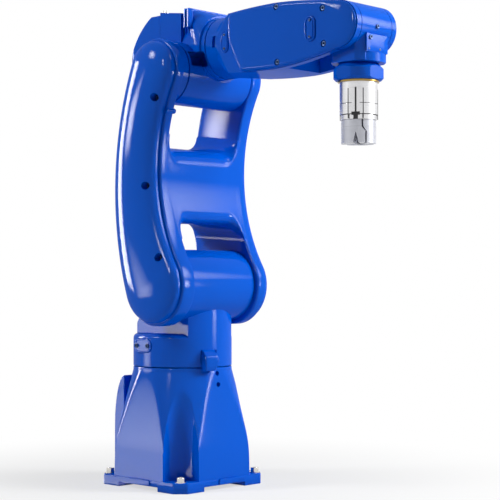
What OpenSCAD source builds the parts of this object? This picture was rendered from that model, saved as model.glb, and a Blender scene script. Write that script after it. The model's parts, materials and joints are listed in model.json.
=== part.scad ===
// Six-axis industrial robot arm with a three-jaw centring gripper.
// Millimetres. X points forward along the arm, Y to the arm's left, Z up.
// The origin is on the floor, on the swivel axis.

/* [Arm lengths] */
// Forward distance from the swivel axis to the shoulder axis
shoulder_x = 40; // [35:1:45]
// Height of the shoulder axis above the swivel joint
shoulder_h = 133; // [130:1:140]
// Shoulder axis to elbow axis
upper_l = 345; // [335:1:360]
// Height of the forearm's roll axis above the elbow axis
forearm_rise = 40; // [37:1:43]
// Elbow axis to wrist axis
forearm_l = 340; // [335:1:360]
// Wrist axis to the tool flange's face
wrist_l = 80; // [78:1:84]

/* [Base] */
// Width and depth of the square foot
base_w = 200; // [196:1:208]
// Corner chamfer of the foot
base_chamfer = 16; // [12:1:20]
// Thickness of the foot
foot_t = 17; // [14:1:20]
// Length of a foot along the base's edge
foot_l = 53; // [51:1:56]
// Height of the relief between two feet
relief_h = 7; // [5:1:9]
// Distance from the base's edge to a floor bolt
bolt_inset = 15; // [14:1:17]
// Diameter of a floor bolt hole
bolt_d = 12; // [10:0.5:13]
// Radius of the pocket around a floor bolt
pocket_r = 30; // [27:1:32]
// Height of the base's top
base_h = 195.5; // [190:0.5:200]
// Height where the base's panels start to lean inwards
panel_low_z = 60; // [50:1:70]
// Distance from the base's top down to the top of its panels
panel_drop = 8.5; // [7:0.5:14]
// Flare of the base's round body, radius for each unit of height
base_flare = 0.267; // [0.24:0.01:0.28]
// Width of the rear connector box
box_w = 116; // [108:1:120]
// Reach of the connector box behind the foot
box_overhang = 6; // [4:1:10]
// Distance from the base's top down to the top of the connector box
box_drop = 17; // [16:0.5:24]
// Height of the round shoulder of the connector box
box_round_h = 85; // [60:1:100]
// Diameter of the two tapped holes in the front panel
stop_hole_d = 8; // [6:0.5:9]

/* [Swivel head] */
// Radius of the swivel head
head_r = 82; // [80:1:84]
// Height of the head's disc
disc_h = 53; // [50:1:56]
// Rounding of the disc's top edge
disc_round = 8; // [5:1:10]
// Width of the neck under the shoulder
neck_w = 100; // [92:1:108]
// Distance from the swivel axis to the back of the neck
neck_back = 58; // [54:1:62]
// Radius of the shoulder barrel
shoulder_r = 58; // [55:1:60]
// Distance between the lower arm's cheeks
cheek_gap = 144; // [140:1:148]
// Width of the stop block
stop_w = 30; // [26:1:34]
// Azimuth of the stop block, left of straight ahead
stop_azimuth = -12; // [-20:1:0]
// Length of an oval port on the swivel head
port_l = 41; // [36:1:44]
// Height of an oval port on the swivel head
port_h = 24; // [20:1:26]

/* [Lower arm] */
// Radius of the lower arm's outline around the shoulder
arm_foot_r = 66; // [64:1:68]
// Radius of the lower arm's outline around the elbow
arm_head_r = 52; // [52:1:55]
// Radius of the hollow front edge
arm_front_r = 289; // [270:1:310]
// Radius of the bowed rear edge
arm_rear_r = 545; // [520:1:570]
// Thickness of the right cheek
right_cheek_t = 28; // [24:1:32]
// Thickness of the left cheek
left_cheek_t = 20; // [18:1:24]
// Bulge of the right cover
right_cover_t = 25; // [21:1:26]
// Bulge of the left cover
left_cover_t = 13; // [11:1:15]
// Step from the cheek's edge to a cover's edge
cover_step = 5; // [3:0.5:7]
// Edge rounding of the right cover
right_cover_round = 20; // [16:1:21]
// Edge rounding of the left cover
left_cover_round = 10; // [8:1:11]
// Height of the web's lower edge above the shoulder axis, at the front
web_low = 134; // [130:1:140]
// Height of the web's upper edge above the shoulder axis, at the front
web_high = 210; // [206:1:216]
// Slope of the web's lower face
web_low_slope = 15; // [12:1:17]
// Slope of the web's upper face
web_high_slope = 10; // [7:1:11]
// Corner radius of the windows above and below the web
window_r = 25; // [18:1:32]

/* [Elbow] */
// Radius of the elbow barrel
elbow_r = 51; // [49:1:51]
// Width of the elbow housing
elbow_w = 104; // [98:1:110]
// Rounding of the elbow housing's upright edges
elbow_round = 14; // [8:1:18]
// Reach of the motor cover from the elbow axis
motor_cover_r = 118; // [112:1:119]
// Height of the elbow housing above the elbow axis
elbow_h = 105; // [102:1:107]
// Distance from the elbow axis back to the motor cover's seam
motor_seam_x = 40; // [34:1:46]
// Thickness of a flange plate on top of the elbow
flange_plate_t = 4; // [3:0.5:5]
// Width of the flange plates
flange_plate_w = 92; // [86:1:96]
// Distance from the elbow axis to the roll joint
roll_joint_x = 63; // [61:1:66]
// Radius of the drum at the roll joint
drum_r = 50; // [48:1:51]

/* [Forearm] */
// Length of the forearm's round neck
forearm_neck_l = 24; // [20:1:28]
// Length over which the neck widens into the forearm's body
forearm_blend_l = 30; // [24:1:36]
// Width of the forearm casting at the neck
forearm_w = 100; // [96:1:104]
// Width of the forearm casting at the wrist
fork_w = 92; // [90:1:98]
// Width of the gap between the fork's tines
fork_gap = 72; // [71:0.5:74]
// Distance from the wrist axis back to the end of the fork's gap
fork_depth = 106; // [104:1:112]
// Radius of the fork's round ends
fork_r = 36; // [34:1:38]
// Height of the forearm's top above the roll axis at the neck
forearm_top = 44; // [42:1:46]
// Height of the forearm's top above the roll axis at its belly
belly_top = 48; // [47:1:50]
// Depth of the forearm's underside at the neck
forearm_under = 50; // [48:1:51]
// Depth of the forearm's underside at its belly
belly_under = 54; // [52:1:56]
// Thickness of a forearm side cover
side_cover_t = 7; // [5:0.5:9]
// Slant of the side cover's rear edge
side_cover_slant = 24; // [18:1:30]

/* [Wrist] */
// Radius of the wrist's barrel
wrist_r = 36; // [34:0.5:37]
// Radius of the wrist's lower rim
wrist_rim_r = 40; // [38:1:41]
// Height of the wrist's lower rim
wrist_rim_h = 13; // [10:1:15]
// Depth of the wrist's lower end below the wrist axis
wrist_drop = 54; // [52:1:56]
// Radius of the tool collar
collar_r = 37.5; // [36:0.5:38]
// Radius of the tool collar's top
collar_top_r = 29; // [27:1:32]
// Distance from the tool axis to the collar's front flat
collar_flat = 34.5; // [33:0.5:36]
// Width of the wrist's front plate
front_plate_w = 50; // [44:1:56]
// Height of the wrist's front plate
front_plate_h = 27; // [22:1:30]
// Thickness of the wrist's front plate
front_plate_t = 3; // [2:0.5:4]

/* [Gripper] */
// Radius of the tool flange
flange_r = 31; // [30:0.5:32]
// Thickness of the tool flange
flange_t = 3; // [2:0.5:5]
// Radius of the gripper's body
gripper_r = 28.5; // [27.5:0.5:29.5]
// Height of the gripper's body under the flange
gripper_h = 56; // [52:1:60]
// Distance from the gripper's axis to a guide's flat face
guide_flat = 26.5; // [25.5:0.5:27]
// Width of a guide's flat face
guide_w = 22; // [18:1:24]
// Height of the full ring above the guides
guide_drop = 9; // [7:0.5:11]
// Width of the slot in a guide
guide_slot_w = 2.6; // [2:0.2:3.4]
// Width of a base jaw's head
jaw_w = 12.3; // [11:0.1:13]
// Width of a base jaw's stem
jaw_stem_w = 6.5; // [5:0.5:8]
// Height of a base jaw's head
jaw_head_h = 4.5; // [3.5:0.5:5.5]
// Height of a base jaw's stem
jaw_stem_h = 6; // [5:0.5:7]
// Height of the narrower rim at the gripper's lower end
gripper_rim_h = 8; // [6:0.5:10]
// Length of a finger
finger_l = 35; // [30:1:42]
// Gap between two closed fingers
finger_gap = 2.4; // [2:0.2:4]
// Angle from a jaw to its finger's leading edge
finger_lead = 22; // [18:1:28]
// Sidestep of the finger's edge
finger_jog = 5.5; // [4:0.5:8]
// Travel of a jaw
jaw_travel = 6; // [3:0.5:6]

/* [Fits] */
// Width of the groove that shows at a turning joint
groove = 1.5; // [1:0.1:2]
// Running clearance at a turning joint's seat
seat_gap = 0.3; // [0.2:0.05:0.5]
// Clearance of a sliding jaw
slide_gap = 0.2; // [0.1:0.05:0.3]

/* [Hidden] */
$fn = 96;
over = 1;

// Places of the joints
head_z = base_h + groove;
shoulder_z = head_z + shoulder_h;
elbow_z = shoulder_z + upper_l;
roll_z = elbow_z + forearm_rise;
wrist_x = shoulder_x + forearm_l;
flange_z = roll_z - wrist_l;
roll_seam_x = shoulder_x + roll_joint_x;

// Half widths
cheek_y = cheek_gap / 2;
right_cheek_y = -cheek_y - right_cheek_t;
left_cheek_y = cheek_y + left_cheek_t;
tine_y = fork_gap / 2;

// Seats: a turning joint shows a groove, and inside it a hub that nearly touches
seat_step = groove - seat_gap;
seat_inset = 9;

// Base
base_half = base_w / 2;
bolt_pitch = base_w - 2 * bolt_inset;
relief_w = base_w - 2 * foot_l;
panel_x = base_half - 1;
panel_high_z = base_h - panel_drop;
cone_top_z = panel_high_z + 3;
box_x = head_r - 1;
box_back = base_half + box_overhang;
box_low_z = relief_h + 1;
box_top_z = base_h - box_drop;
box_clear = 0.2;
stop_hole_depth = 12;
stop_hole_spacing = 18;

// Swivel head
stop_flat = head_r - 3;
stop_out = head_r + 15;
stop_clear = 6;
stop_low_z = base_h - 10;
stop_mid_z = head_z + 5;
stop_top_z = head_z + 28;
port_flat = head_r - 4;
port_face = head_r + 1.5;
port_x = -8;
disc_top_z = head_z + disc_h;
port_z = disc_top_z - 19;
neck_rear_z = shoulder_z - 45;

// Lower arm: centres of the front and rear edges, which touch both end circles
function edge_centre(da, db) =
    let (w = (upper_l * upper_l + da * da - db * db) / (2 * upper_l))
    [sqrt(da * da - w * w), w];
front_c = edge_centre(arm_front_r + arm_foot_r, arm_front_r + arm_head_r);
rear_c = edge_centre(arm_rear_r - arm_foot_r, arm_rear_r - arm_head_r);
arm_front_u = front_c[0] - arm_front_r;
arm_rear_u = rear_c[0] - arm_rear_r;

// Elbow: the housing's sections along the roll axis, from the elbow axis
motor_front_x = 10;
flange_plates_x = [motor_front_x + 1, motor_front_x + flange_plate_t + 5];
cowl_x = motor_front_x + 2 * flange_plate_t + 6;
cowl_w = flange_plate_w;
ring_l = 9;
tangent_turn = 230;
core_step = 8;

// Forearm
neck_x = roll_seam_x + groove;
body_x = neck_x + forearm_neck_l + forearm_blend_l;
body_l = wrist_x - body_x;
belly_at = 0.42;
edge_steps = 14;
neck_port_w = 15;
neck_port_h = 35;
neck_port_depth = 5;
wrist_port_w = 20;
wrist_port_h = 38;
wrist_port_back = 48;
port_stand = 2;
neck_slot_w = 6.5;
neck_slot_h = 18;
fork_relief = 4;
cover_edge = 1;
cover_bevel = 3;

// Wrist and gripper
wrist_half_w = fork_gap / 2 - groove + seat_step / 2;
collar_top_z = roll_z - wrist_drop - 1;
flange_top_z = flange_z + seat_gap;
collar_low_z = flange_top_z + seat_gap;
gripper_top_z = flange_top_z - flange_t;
gripper_low_z = gripper_top_z - gripper_h;
finger_in_r = 4;
finger_out_r = gripper_r - 2.5;
finger_step_z = 11;
finger_step_h = 7;
notch_w = 9;
notch_h = 17;
jaw_in = 9;
jaw_h = jaw_head_h + jaw_stem_h;
JAWS = [-60, 60, 180];

PAINT = "royalblue";
METAL = "silver";
FINGER = "darkgray";
DARK = "dimgray";

// Extrudes an outline drawn in X and Z along Y, from y0 to y1
module along_y(y0, y1) {
    translate([0, y1, 0])
        rotate([90, 0, 0])
            linear_extrude(y1 - y0)
                children();
}

// Extrudes an outline drawn in Y and Z along X, from x0 to x1
module along_x(x0, x1) {
    translate([x0, 0, 0])
        rotate([90, 0, 90])
            linear_extrude(x1 - x0)
                children();
}

// A cylinder along Y between y0 and y1
module bar_y(r, y0, y1) {
    along_y(y0, y1) circle(r);
}

// An outline with two round ends, its long side upright
module oval(w, h) {
    straight = h - w;
    square([w, straight], center = true);
    for (side = [-1, 1])
        translate([0, side * straight / 2])
            circle(w / 2);
}

module at_shoulder() {
    translate([shoulder_x, 0, shoulder_z]) children();
}

module at_elbow() {
    translate([shoulder_x, 0, elbow_z]) children();
}

module at_roll() {
    translate([shoulder_x, 0, roll_z]) children();
}

module at_wrist() {
    translate([wrist_x, 0, roll_z]) children();
}

module at_tool(z) {
    translate([wrist_x, 0, z]) children();
}

module at_bolts() {
    for (x = [-1, 1], y = [-1, 1])
        translate([x * bolt_pitch / 2, y * bolt_pitch / 2, 0])
            children();
}

// The foot's outline, a square with cut corners
module foot_outline() {
    a = base_half;
    b = base_half - base_chamfer;
    polygon([[a, -b], [a, b], [b, a], [-b, a], [-a, b], [-a, -b], [-b, -a], [b, -a]]);
}

// Side view of two opposite panels, upright below and leaning in above
module panel_profile() {
    polygon([
        [-panel_x, 0], [panel_x, 0], [panel_x, panel_low_z],
        [head_r, panel_high_z], [head_r, base_h],
        [-head_r, base_h], [-head_r, panel_high_z], [-panel_x, panel_low_z]
    ]);
}

// The base's flared body: a cone of revolution between four leaning panels
module base_body() {
    low_r = head_r + base_flare * cone_top_z;
    intersection() {
        rotate_extrude()
            polygon([[0, 0], [low_r, 0], [head_r, cone_top_z], [head_r, base_h], [0, base_h]]);
        along_y(-base_w, base_w) panel_profile();
        along_x(-base_w, base_w) panel_profile();
    }
}

module base_casting() color(PAINT) {
    difference() {
        union() {
            linear_extrude(foot_t) foot_outline();
            difference() {
                base_body();
                at_bolts()
                    translate([0, 0, foot_t])
                        cylinder(r = pocket_r, h = base_h);
            }
            translate([0, 0, base_h - over])
                cylinder(r = head_r - seat_inset, h = seat_step + over);
        }
        at_bolts()
            translate([0, 0, -over])
                cylinder(d = bolt_d, h = foot_t + 2 * over);
        for (turn = [0, 90])
            rotate([0, 0, turn])
                translate([-base_w, -relief_w / 2, -over])
                    cube([2 * base_w, relief_w, relief_h + over]);
        translate([-base_w - box_x, -box_w / 2 - box_clear, box_low_z - over])
            cube([base_w, box_w + 2 * box_clear, box_top_z - box_low_z + over]);
        for (drop = [1, 1 + stop_hole_spacing])
            translate([head_r - stop_hole_depth, 0, panel_high_z - drop])
                rotate([0, 90, 0])
                    cylinder(d = stop_hole_d, h = base_w);
    }
}

// Rear box for the cables, its back rounding forward to the top
module connector_box() color(PAINT) {
    depth = box_back - box_x;
    steps = 16;
    along_y(-box_w / 2, box_w / 2)
        polygon(concat(
            [[-box_x, box_low_z], [-box_back, box_low_z]],
            [for (i = [0 : steps])
                let (turn = 90 * i / steps)
                [-box_x - depth * cos(turn), box_top_z - box_round_h * (1 - sin(turn))]]
        ));
}

// Side view of the neck between the disc and the shoulder barrel
module neck_profile() {
    polygon([
        [-neck_back, disc_top_z - disc_round - over], [-neck_back, neck_rear_z - 18],
        [-neck_back + 12, neck_rear_z], [shoulder_x - shoulder_r + 4, shoulder_z],
        [head_r, shoulder_z], [head_r, disc_top_z - disc_round - over]
    ]);
}

// The head's disc in half section, with a round top edge
module disc_profile() {
    round_x = head_r - disc_round;
    translate([0, head_z]) square([head_r, disc_top_z - disc_round - head_z]);
    translate([0, head_z]) square([round_x, disc_top_z - head_z]);
    intersection() {
        translate([round_x, disc_top_z - disc_round]) circle(disc_round);
        translate([0, head_z]) square([base_w, base_w]);
    }
}

module stop_block_at(x0, x1, z0, z1) {
    rotate([0, 0, stop_azimuth])
        translate([x0, -stop_w / 2, z0])
            cube([x1 - x0, stop_w, z1 - z0]);
}

module port_at(y0, y1) {
    translate([port_x, 0, port_z])
        along_y(y0, y1)
            rotate(90) oval(port_h, port_l);
}

module swivel_head() color(PAINT) {
    barrel_y = cheek_y - groove;
    difference() {
        union() {
            rotate_extrude() disc_profile();
            intersection() {
                along_y(-neck_w / 2, neck_w / 2) neck_profile();
                cylinder(r = head_r, h = shoulder_z + over);
            }
            at_shoulder() {
                bar_y(shoulder_r, -barrel_y, barrel_y);
                bar_y(shoulder_r - seat_inset, -barrel_y - seat_step, barrel_y + seat_step);
            }
        }
        stop_block_at(stop_flat, stop_out, stop_mid_z, stop_top_z);
        port_at(-stop_out, -port_flat);
    }
}

// Block that limits the swivel, hanging over the joint
module stop_block() color(PAINT) {
    stop_block_at(stop_flat, stop_out, stop_mid_z, stop_top_z);
    stop_block_at(head_r + stop_clear, stop_out, stop_low_z, stop_mid_z);
}

module port_plate() color(PAINT) {
    port_at(-port_face, -port_flat);
}

// Side outline of the lower arm, drawn from the shoulder axis and set in by a step
module arm_outline(step = 0) {
    reach = 60;
    a = [0, 0];
    b = [0, upper_l];
    out_a = a - rear_c / norm(rear_c) * (arm_foot_r + reach);
    out_b = b - (rear_c - b) / norm(rear_c - b) * (arm_head_r + reach);
    circle(arm_foot_r - step);
    translate(b) circle(arm_head_r - step);
    difference() {
        intersection() {
            translate(rear_c) circle(arm_rear_r - step, $fn = 360);
            polygon([a, out_a, out_b, b, front_c]);
        }
        translate(front_c) circle(arm_front_r + step, $fn = 240);
    }
}

// Space between the cheeks, with round corners towards the web at its origin
module window_space() {
    tall = 2 * upper_l;
    translate([-cheek_y, window_r]) square([cheek_gap, tall]);
    translate([window_r - cheek_y, 0]) square([cheek_gap - 2 * window_r, tall]);
    for (side = [-1, 1])
        translate([side * (cheek_y - window_r), window_r])
            circle(window_r);
}

// A window cut through the arm from its front edge, along a sloping direction
module window_cut(front_w, slope, up) {
    long = 2 * upper_l;
    translate([arm_front_u, 0, front_w])
        rotate([0, slope, 0])
            mirror([0, 0, up > 0 ? 0 : 1])
                along_x(-long, long) window_space();
}

module lower_arm_frame() color(PAINT) {
    at_shoulder()
        difference() {
            along_y(right_cheek_y, left_cheek_y) arm_outline();
            window_cut(web_high, web_high_slope, 1);
            window_cut(web_low, -web_low_slope, -1);
        }
}

// Bulged cover: the outline's plate grown by a ball, cut off at the cheek
module arm_cover(bulge, edge_round) {
    inset = cover_step + edge_round;
    intersection() {
        minkowski() {
            translate([0, over, 0])
                along_y(-bulge + edge_round - over, 0)
                    arm_outline(inset, $fn = 64);
            sphere(edge_round, $fn = 20);
        }
        along_y(-bulge - over, 0)
            translate([-upper_l, -upper_l])
                square([2 * upper_l, 3 * upper_l]);
    }
}

module lower_arm_cover_right() color(PAINT) {
    at_shoulder()
        translate([0, right_cheek_y, 0])
            arm_cover(right_cover_t, right_cover_round);
}

module lower_arm_cover_left() color(PAINT) {
    at_shoulder()
        translate([0, left_cheek_y, 0])
            mirror([0, 1, 0])
                arm_cover(left_cover_t, left_cover_round);
}

// Side outline of the elbow behind its flange plates: a round back that runs down into the barrel
module elbow_outline() {
    touch = elbow_r * [cos(tangent_turn), sin(tangent_turn)];
    back = [-sin(tangent_turn), cos(tangent_turn)];
    far = touch - 2 * motor_cover_r * back;
    intersection() {
        circle(motor_cover_r);
        polygon([
            touch, far, [far[0], elbow_h], [motor_front_x, elbow_h], [motor_front_x, 0]
        ]);
    }
}

// Plan of the elbow's housing, with round upright edges at the back
module elbow_plan() {
    inner = elbow_w / 2 - elbow_round;
    rear = motor_cover_r - elbow_round;
    translate([-rear, -elbow_w / 2]) square([rear + roll_joint_x, elbow_w]);
    translate([-motor_cover_r, -inner]) square([motor_cover_r, 2 * inner]);
    for (side = [-1, 1])
        translate([-rear, side * inner]) circle(elbow_round);
}

// The part of the elbow between two distances along the roll axis
module elbow_slice(x0, x1) {
    intersection() {
        along_y(-elbow_w / 2, elbow_w / 2)
            intersection() {
                elbow_outline();
                translate([x0, -upper_l]) square([x1 - x0, 2 * upper_l]);
            }
        translate([0, 0, -upper_l]) linear_extrude(2 * upper_l) elbow_plan();
    }
}

// Cowl over the roll gear, from a square section to the round ring
module elbow_cowl() {
    corner = 18;
    reach = cowl_w / 2 - corner;
    skin = 2;
    end_x = roll_joint_x - ring_l;
    hull() {
        along_x(cowl_x, cowl_x + skin)
            for (side = [-1, 1]) {
                translate([side * reach, elbow_h - 2 - corner]) circle(corner, $fn = 32);
                translate([side * reach, corner]) circle(corner, $fn = 32);
            }
        translate([0, 0, forearm_rise])
            along_x(end_x - skin, end_x) circle(drum_r + 4, $fn = 64);
    }
}

module elbow_housing() color(PAINT) {
    barrel_y = cheek_y - groove;
    core_w = flange_plate_w - core_step;
    at_elbow() {
        bar_y(elbow_r, -barrel_y, barrel_y);
        bar_y(elbow_r - seat_inset, -barrel_y - seat_step, barrel_y + seat_step);
        elbow_slice(-motor_seam_x, motor_front_x);
        for (x = flange_plates_x)
            translate([x, -flange_plate_w / 2, 0])
                cube([flange_plate_t, flange_plate_w, elbow_h + 1]);
        translate([0, -core_w / 2, 0])
            cube([cowl_x + over, core_w, elbow_h - core_step]);
        elbow_cowl();
    }
    at_roll()
        rotate([0, 90, 0]) {
            cylinder(r = drum_r + 1, h = roll_joint_x);
            cylinder(r = drum_r - seat_inset, h = roll_joint_x + seat_step);
        }
}

module motor_cover() color(PAINT) {
    at_elbow()
        difference() {
            elbow_slice(-2 * motor_cover_r, -motor_seam_x - seat_gap);
            bar_y(elbow_r + seat_gap, -elbow_w, elbow_w);
        }
}

// Height of an edge of the forearm along its length, from the neck (0) over the belly to the wrist (1)
function edge_height(t, neck, belly, wrist) =
    t < belly_at
        ? belly - (belly - neck) * pow(1 - t / belly_at, 2)
        : belly - (belly - wrist) * pow((t - belly_at) / (1 - belly_at), 1.6);

// Side outline of the forearm's body up to the fork's round end, drawn from the wrist axis
module forearm_outline(margin = 0) {
    t_end = 0.98;
    circle(fork_r - margin);
    polygon(concat(
        [for (i = [0 : edge_steps])
            let (t = t_end * i / edge_steps)
            [(t - 1) * body_l, edge_height(t, forearm_top, belly_top, fork_r) - margin]],
        [[0, 0]],
        [for (i = [edge_steps : -1 : 0])
            let (t = t_end * i / edge_steps)
            [(t - 1) * body_l, margin - edge_height(t, forearm_under, belly_under, fork_r)]]
    ));
}

// Plan view of the forearm, narrowing towards the wrist
module forearm_plan() {
    end = wrist_x + fork_r + over;
    polygon([
        [body_x, -forearm_w / 2], [end, -fork_w / 2],
        [end, fork_w / 2], [body_x, forearm_w / 2]
    ]);
}

// Room for the wrist and the tool between the tines
module fork_space() {
    at_wrist()
        along_y(-tine_y, tine_y)
            polygon([
                [fork_r + over, -forearm_w], [fork_r + over, forearm_w],
                [-fork_depth - fork_relief, forearm_w], [-fork_depth, 0],
                [-fork_depth - fork_relief, -forearm_w]
            ]);
}

module neck_port_at(y0, y1) {
    translate([body_x - neck_port_w / 2 - 2, 0, roll_z])
        along_y(y0, y1) oval(neck_port_w, neck_port_h);
}

module forearm_casting() color(PAINT) {
    skin = 2;
    blend_x = neck_x + forearm_neck_l - skin;
    difference() {
        union() {
            translate([neck_x, 0, roll_z])
                rotate([0, 90, 0])
                    cylinder(r = drum_r, h = forearm_neck_l);
            hull() {
                translate([blend_x, 0, roll_z])
                    rotate([0, 90, 0])
                        cylinder(r = drum_r, h = skin, $fn = 64);
                translate([body_x - skin, -forearm_w / 2, roll_z - forearm_under])
                    cube([skin, forearm_w, forearm_under + forearm_top]);
            }
            intersection() {
                at_wrist() along_y(-forearm_w, forearm_w) forearm_outline();
                linear_extrude(roll_z + forearm_w) forearm_plan();
            }
        }
        fork_space();
        neck_port_at(-forearm_w, neck_port_depth - drum_r);
        translate([blend_x - neck_slot_w, -forearm_w, roll_z - neck_slot_h / 2 + 3])
            cube([neck_slot_w, forearm_w - drum_r + neck_port_depth, neck_slot_h]);
    }
}

module neck_port() color(PAINT) {
    neck_port_at(-drum_r - port_stand, neck_port_depth - drum_r);
}

// Outline of a side cover, with a slanting rear edge
module side_cover_outline(margin) {
    low = belly_under + over;
    difference() {
        forearm_outline(margin);
        polygon([
            [-body_l - over, 0], [-body_l + margin, 0],
            [-body_l + margin + side_cover_slant, -low], [-body_l - over, -low]
        ]);
        translate([-body_l - over, -low]) square([margin + over, 2 * low]);
    }
}

// Places a piece drawn from the wrist axis on the casting's leaning right side
module on_forearm_side() {
    lean = atan((forearm_w - fork_w) / 2 / (body_l + fork_r + over));
    translate([body_x, -forearm_w / 2, roll_z])
        rotate([0, 0, lean])
            translate([body_l, 0, 0])
                children();
}

// Side cover with a bevelled edge
module side_cover() {
    half = side_cover_t / 2;
    on_forearm_side()
        hull() {
            along_y(-half, 0) side_cover_outline(cover_edge, $fn = 64);
            along_y(-side_cover_t, -half) side_cover_outline(cover_bevel + cover_edge, $fn = 64);
        }
}

module forearm_cover_right() color(PAINT) {
    side_cover();
}

module forearm_cover_left() color(PAINT) {
    mirror([0, 1, 0]) side_cover();
}

module wrist_port() {
    on_forearm_side()
        translate([-wrist_port_back, 0, -port_stand])
            along_y(-side_cover_t - port_stand, -side_cover_t) oval(wrist_port_w, wrist_port_h);
}

module wrist_port_right() color(PAINT) {
    wrist_port();
}

module wrist_port_left() color(PAINT) {
    mirror([0, 1, 0]) wrist_port();
}

// Round body with flat sides, so that it passes between the tines
module flat_sided(r, z0, z1) {
    intersection() {
        at_tool(z0) cylinder(r = r, h = z1 - z0);
        translate([0, -wrist_half_w, 0])
            cube([2 * wrist_x, 2 * wrist_half_w, 2 * roll_z]);
    }
}

module wrist_housing() color(PAINT) {
    block_x = wrist_r - front_plate_t;
    low_z = roll_z - wrist_drop;
    at_wrist() {
        bar_y(wrist_r, -wrist_half_w, wrist_half_w);
        bar_y(wrist_r - seat_inset, seat_gap - tine_y, tine_y - seat_gap);
    }
    intersection() {
        flat_sided(wrist_rim_r + over, low_z + over, roll_z);
        translate([wrist_x - block_x, -wrist_half_w, low_z])
            cube([2 * block_x, 2 * wrist_half_w, 2 * wrist_drop]);
    }
    flat_sided(wrist_rim_r, low_z, low_z + wrist_rim_h);
}

module wrist_front_plate() color(PAINT) {
    at_wrist()
        translate([wrist_r - front_plate_t, -front_plate_w / 2, wrist_rim_h - wrist_drop])
            cube([front_plate_t, front_plate_w, front_plate_h]);
}

module tool_collar() color(PAINT) {
    flare = collar_r - collar_top_r;
    edge = 3;
    height = collar_top_z + over - collar_low_z;
    intersection() {
        at_tool(collar_low_z)
            rotate_extrude()
                polygon([
                    [0, 0], [collar_r - edge, 0], [collar_r, edge], [collar_r, height - flare],
                    [collar_top_r, height], [0, height]
                ]);
        translate([wrist_x - collar_flat, -wrist_half_w, 0])
            cube([2 * collar_flat, 2 * wrist_half_w, roll_z]);
    }
}

module tool_flange() color(METAL) {
    at_tool(gripper_top_z)
        cylinder(r = flange_r, h = flange_t);
}

// T-shaped space for a base jaw along its guide, at the gripper's lower end
module jaw_slot(clear) {
    head_z0 = jaw_stem_h - clear;
    long = 2 * gripper_r;
    translate([0, -jaw_stem_w / 2 - clear, -over])
        cube([long, jaw_stem_w + 2 * clear, jaw_stem_h + 2 * over]);
    translate([0, -jaw_w / 2 - clear, head_z0])
        cube([long, jaw_w + 2 * clear, jaw_head_h + 2 * clear]);
}

module gripper_body() color(METAL) {
    slot_depth = 4;
    seam_h = 0.8;
    seam_z = gripper_h * 0.42;
    rim_r = gripper_r - 1.5;
    at_tool(gripper_low_z)
        difference() {
            union() {
                cylinder(r = rim_r, h = gripper_h);
                translate([0, 0, gripper_rim_h])
                    cylinder(r = gripper_r, h = seam_z - gripper_rim_h);
                translate([0, 0, seam_z + seam_h])
                    cylinder(r = gripper_r, h = gripper_h - seam_z - seam_h);
            }
            for (turn = JAWS)
                rotate([0, 0, turn]) {
                    translate([guide_flat, -guide_w / 2, -over])
                        cube([gripper_r, guide_w, gripper_h - guide_drop + over]);
                    jaw_slot(slide_gap);
                    translate([guide_flat - slot_depth, -guide_slot_w / 2, jaw_h])
                        cube([gripper_r, guide_slot_w, gripper_h - guide_drop - jaw_h]);
                }
        }
}

module base_jaw(number) {
    long = guide_flat - jaw_in - 0.5;
    at_tool(gripper_low_z)
        rotate([0, 0, JAWS[number - 1]])
            translate([jaw_in, 0, 0]) {
                translate([0, -jaw_stem_w / 2, 0]) cube([long, jaw_stem_w, jaw_stem_h + over]);
                translate([0, -jaw_w / 2, jaw_stem_h]) cube([long, jaw_w, jaw_head_h]);
            }
}

// Stepped edge of a finger, seen along its radius: all that lies on one side of it
module finger_edge(low, high, side) {
    low_h = finger_l - finger_step_z - finger_step_h;
    along_x(-2 * gripper_r, 2 * gripper_r)
        polygon([
            [low, -over],
            [low, low_h],
            [high, low_h + finger_step_h],
            [high, finger_l + over],
            [side * 2 * gripper_r, finger_l + over],
            [side * 2 * gripper_r, -over]
        ]);
}

// Finger: a third of a ring between two stepped edges, with a notch under its jaw
module finger(number) {
    half = finger_gap / 2;
    at_tool(gripper_low_z - finger_l)
        rotate([0, 0, JAWS[number - 1] + finger_lead])
            difference() {
                cylinder(r = finger_out_r, h = finger_l - seat_gap);
                translate([0, 0, -over]) cylinder(r = finger_in_r, h = finger_l + 2 * over);
                finger_edge(finger_jog - half, -half, 1);
                rotate([0, 0, -120]) finger_edge(finger_jog + half, half, -1);
                rotate([0, 0, -finger_lead])
                    along_x(finger_in_r, 2 * gripper_r)
                        polygon([[-notch_w / 2, -over], [notch_w / 2, -over], [0, notch_h]]);
            }
}

module base_jaw_1() color(DARK) base_jaw(1);
module base_jaw_2() color(DARK) base_jaw(2);
module base_jaw_3() color(DARK) base_jaw(3);
module finger_1() color(FINGER) finger(1);
module finger_2() color(FINGER) finger(2);
module finger_3() color(FINGER) finger(3);

base_casting();
connector_box();
swivel_head();
stop_block();
port_plate();
lower_arm_frame();
lower_arm_cover_right();
lower_arm_cover_left();
elbow_housing();
motor_cover();
forearm_casting();
forearm_cover_right();
forearm_cover_left();
wrist_port_right();
wrist_port_left();
neck_port();
wrist_housing();
wrist_front_plate();
tool_collar();
tool_flange();
gripper_body();
base_jaw_1();
base_jaw_2();
base_jaw_3();
finger_1();
finger_2();
finger_3();
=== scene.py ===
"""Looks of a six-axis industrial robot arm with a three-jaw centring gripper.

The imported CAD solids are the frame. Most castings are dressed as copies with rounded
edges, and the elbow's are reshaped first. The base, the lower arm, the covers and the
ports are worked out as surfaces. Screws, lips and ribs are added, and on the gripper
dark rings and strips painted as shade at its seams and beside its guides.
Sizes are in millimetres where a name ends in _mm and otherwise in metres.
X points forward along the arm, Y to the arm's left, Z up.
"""

import json
import logging
import math
from collections.abc import Callable
from dataclasses import dataclass
from enum import Enum
from typing import ClassVar

import bmesh
import bpy
import numpy as np
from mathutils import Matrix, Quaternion, Vector

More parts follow.
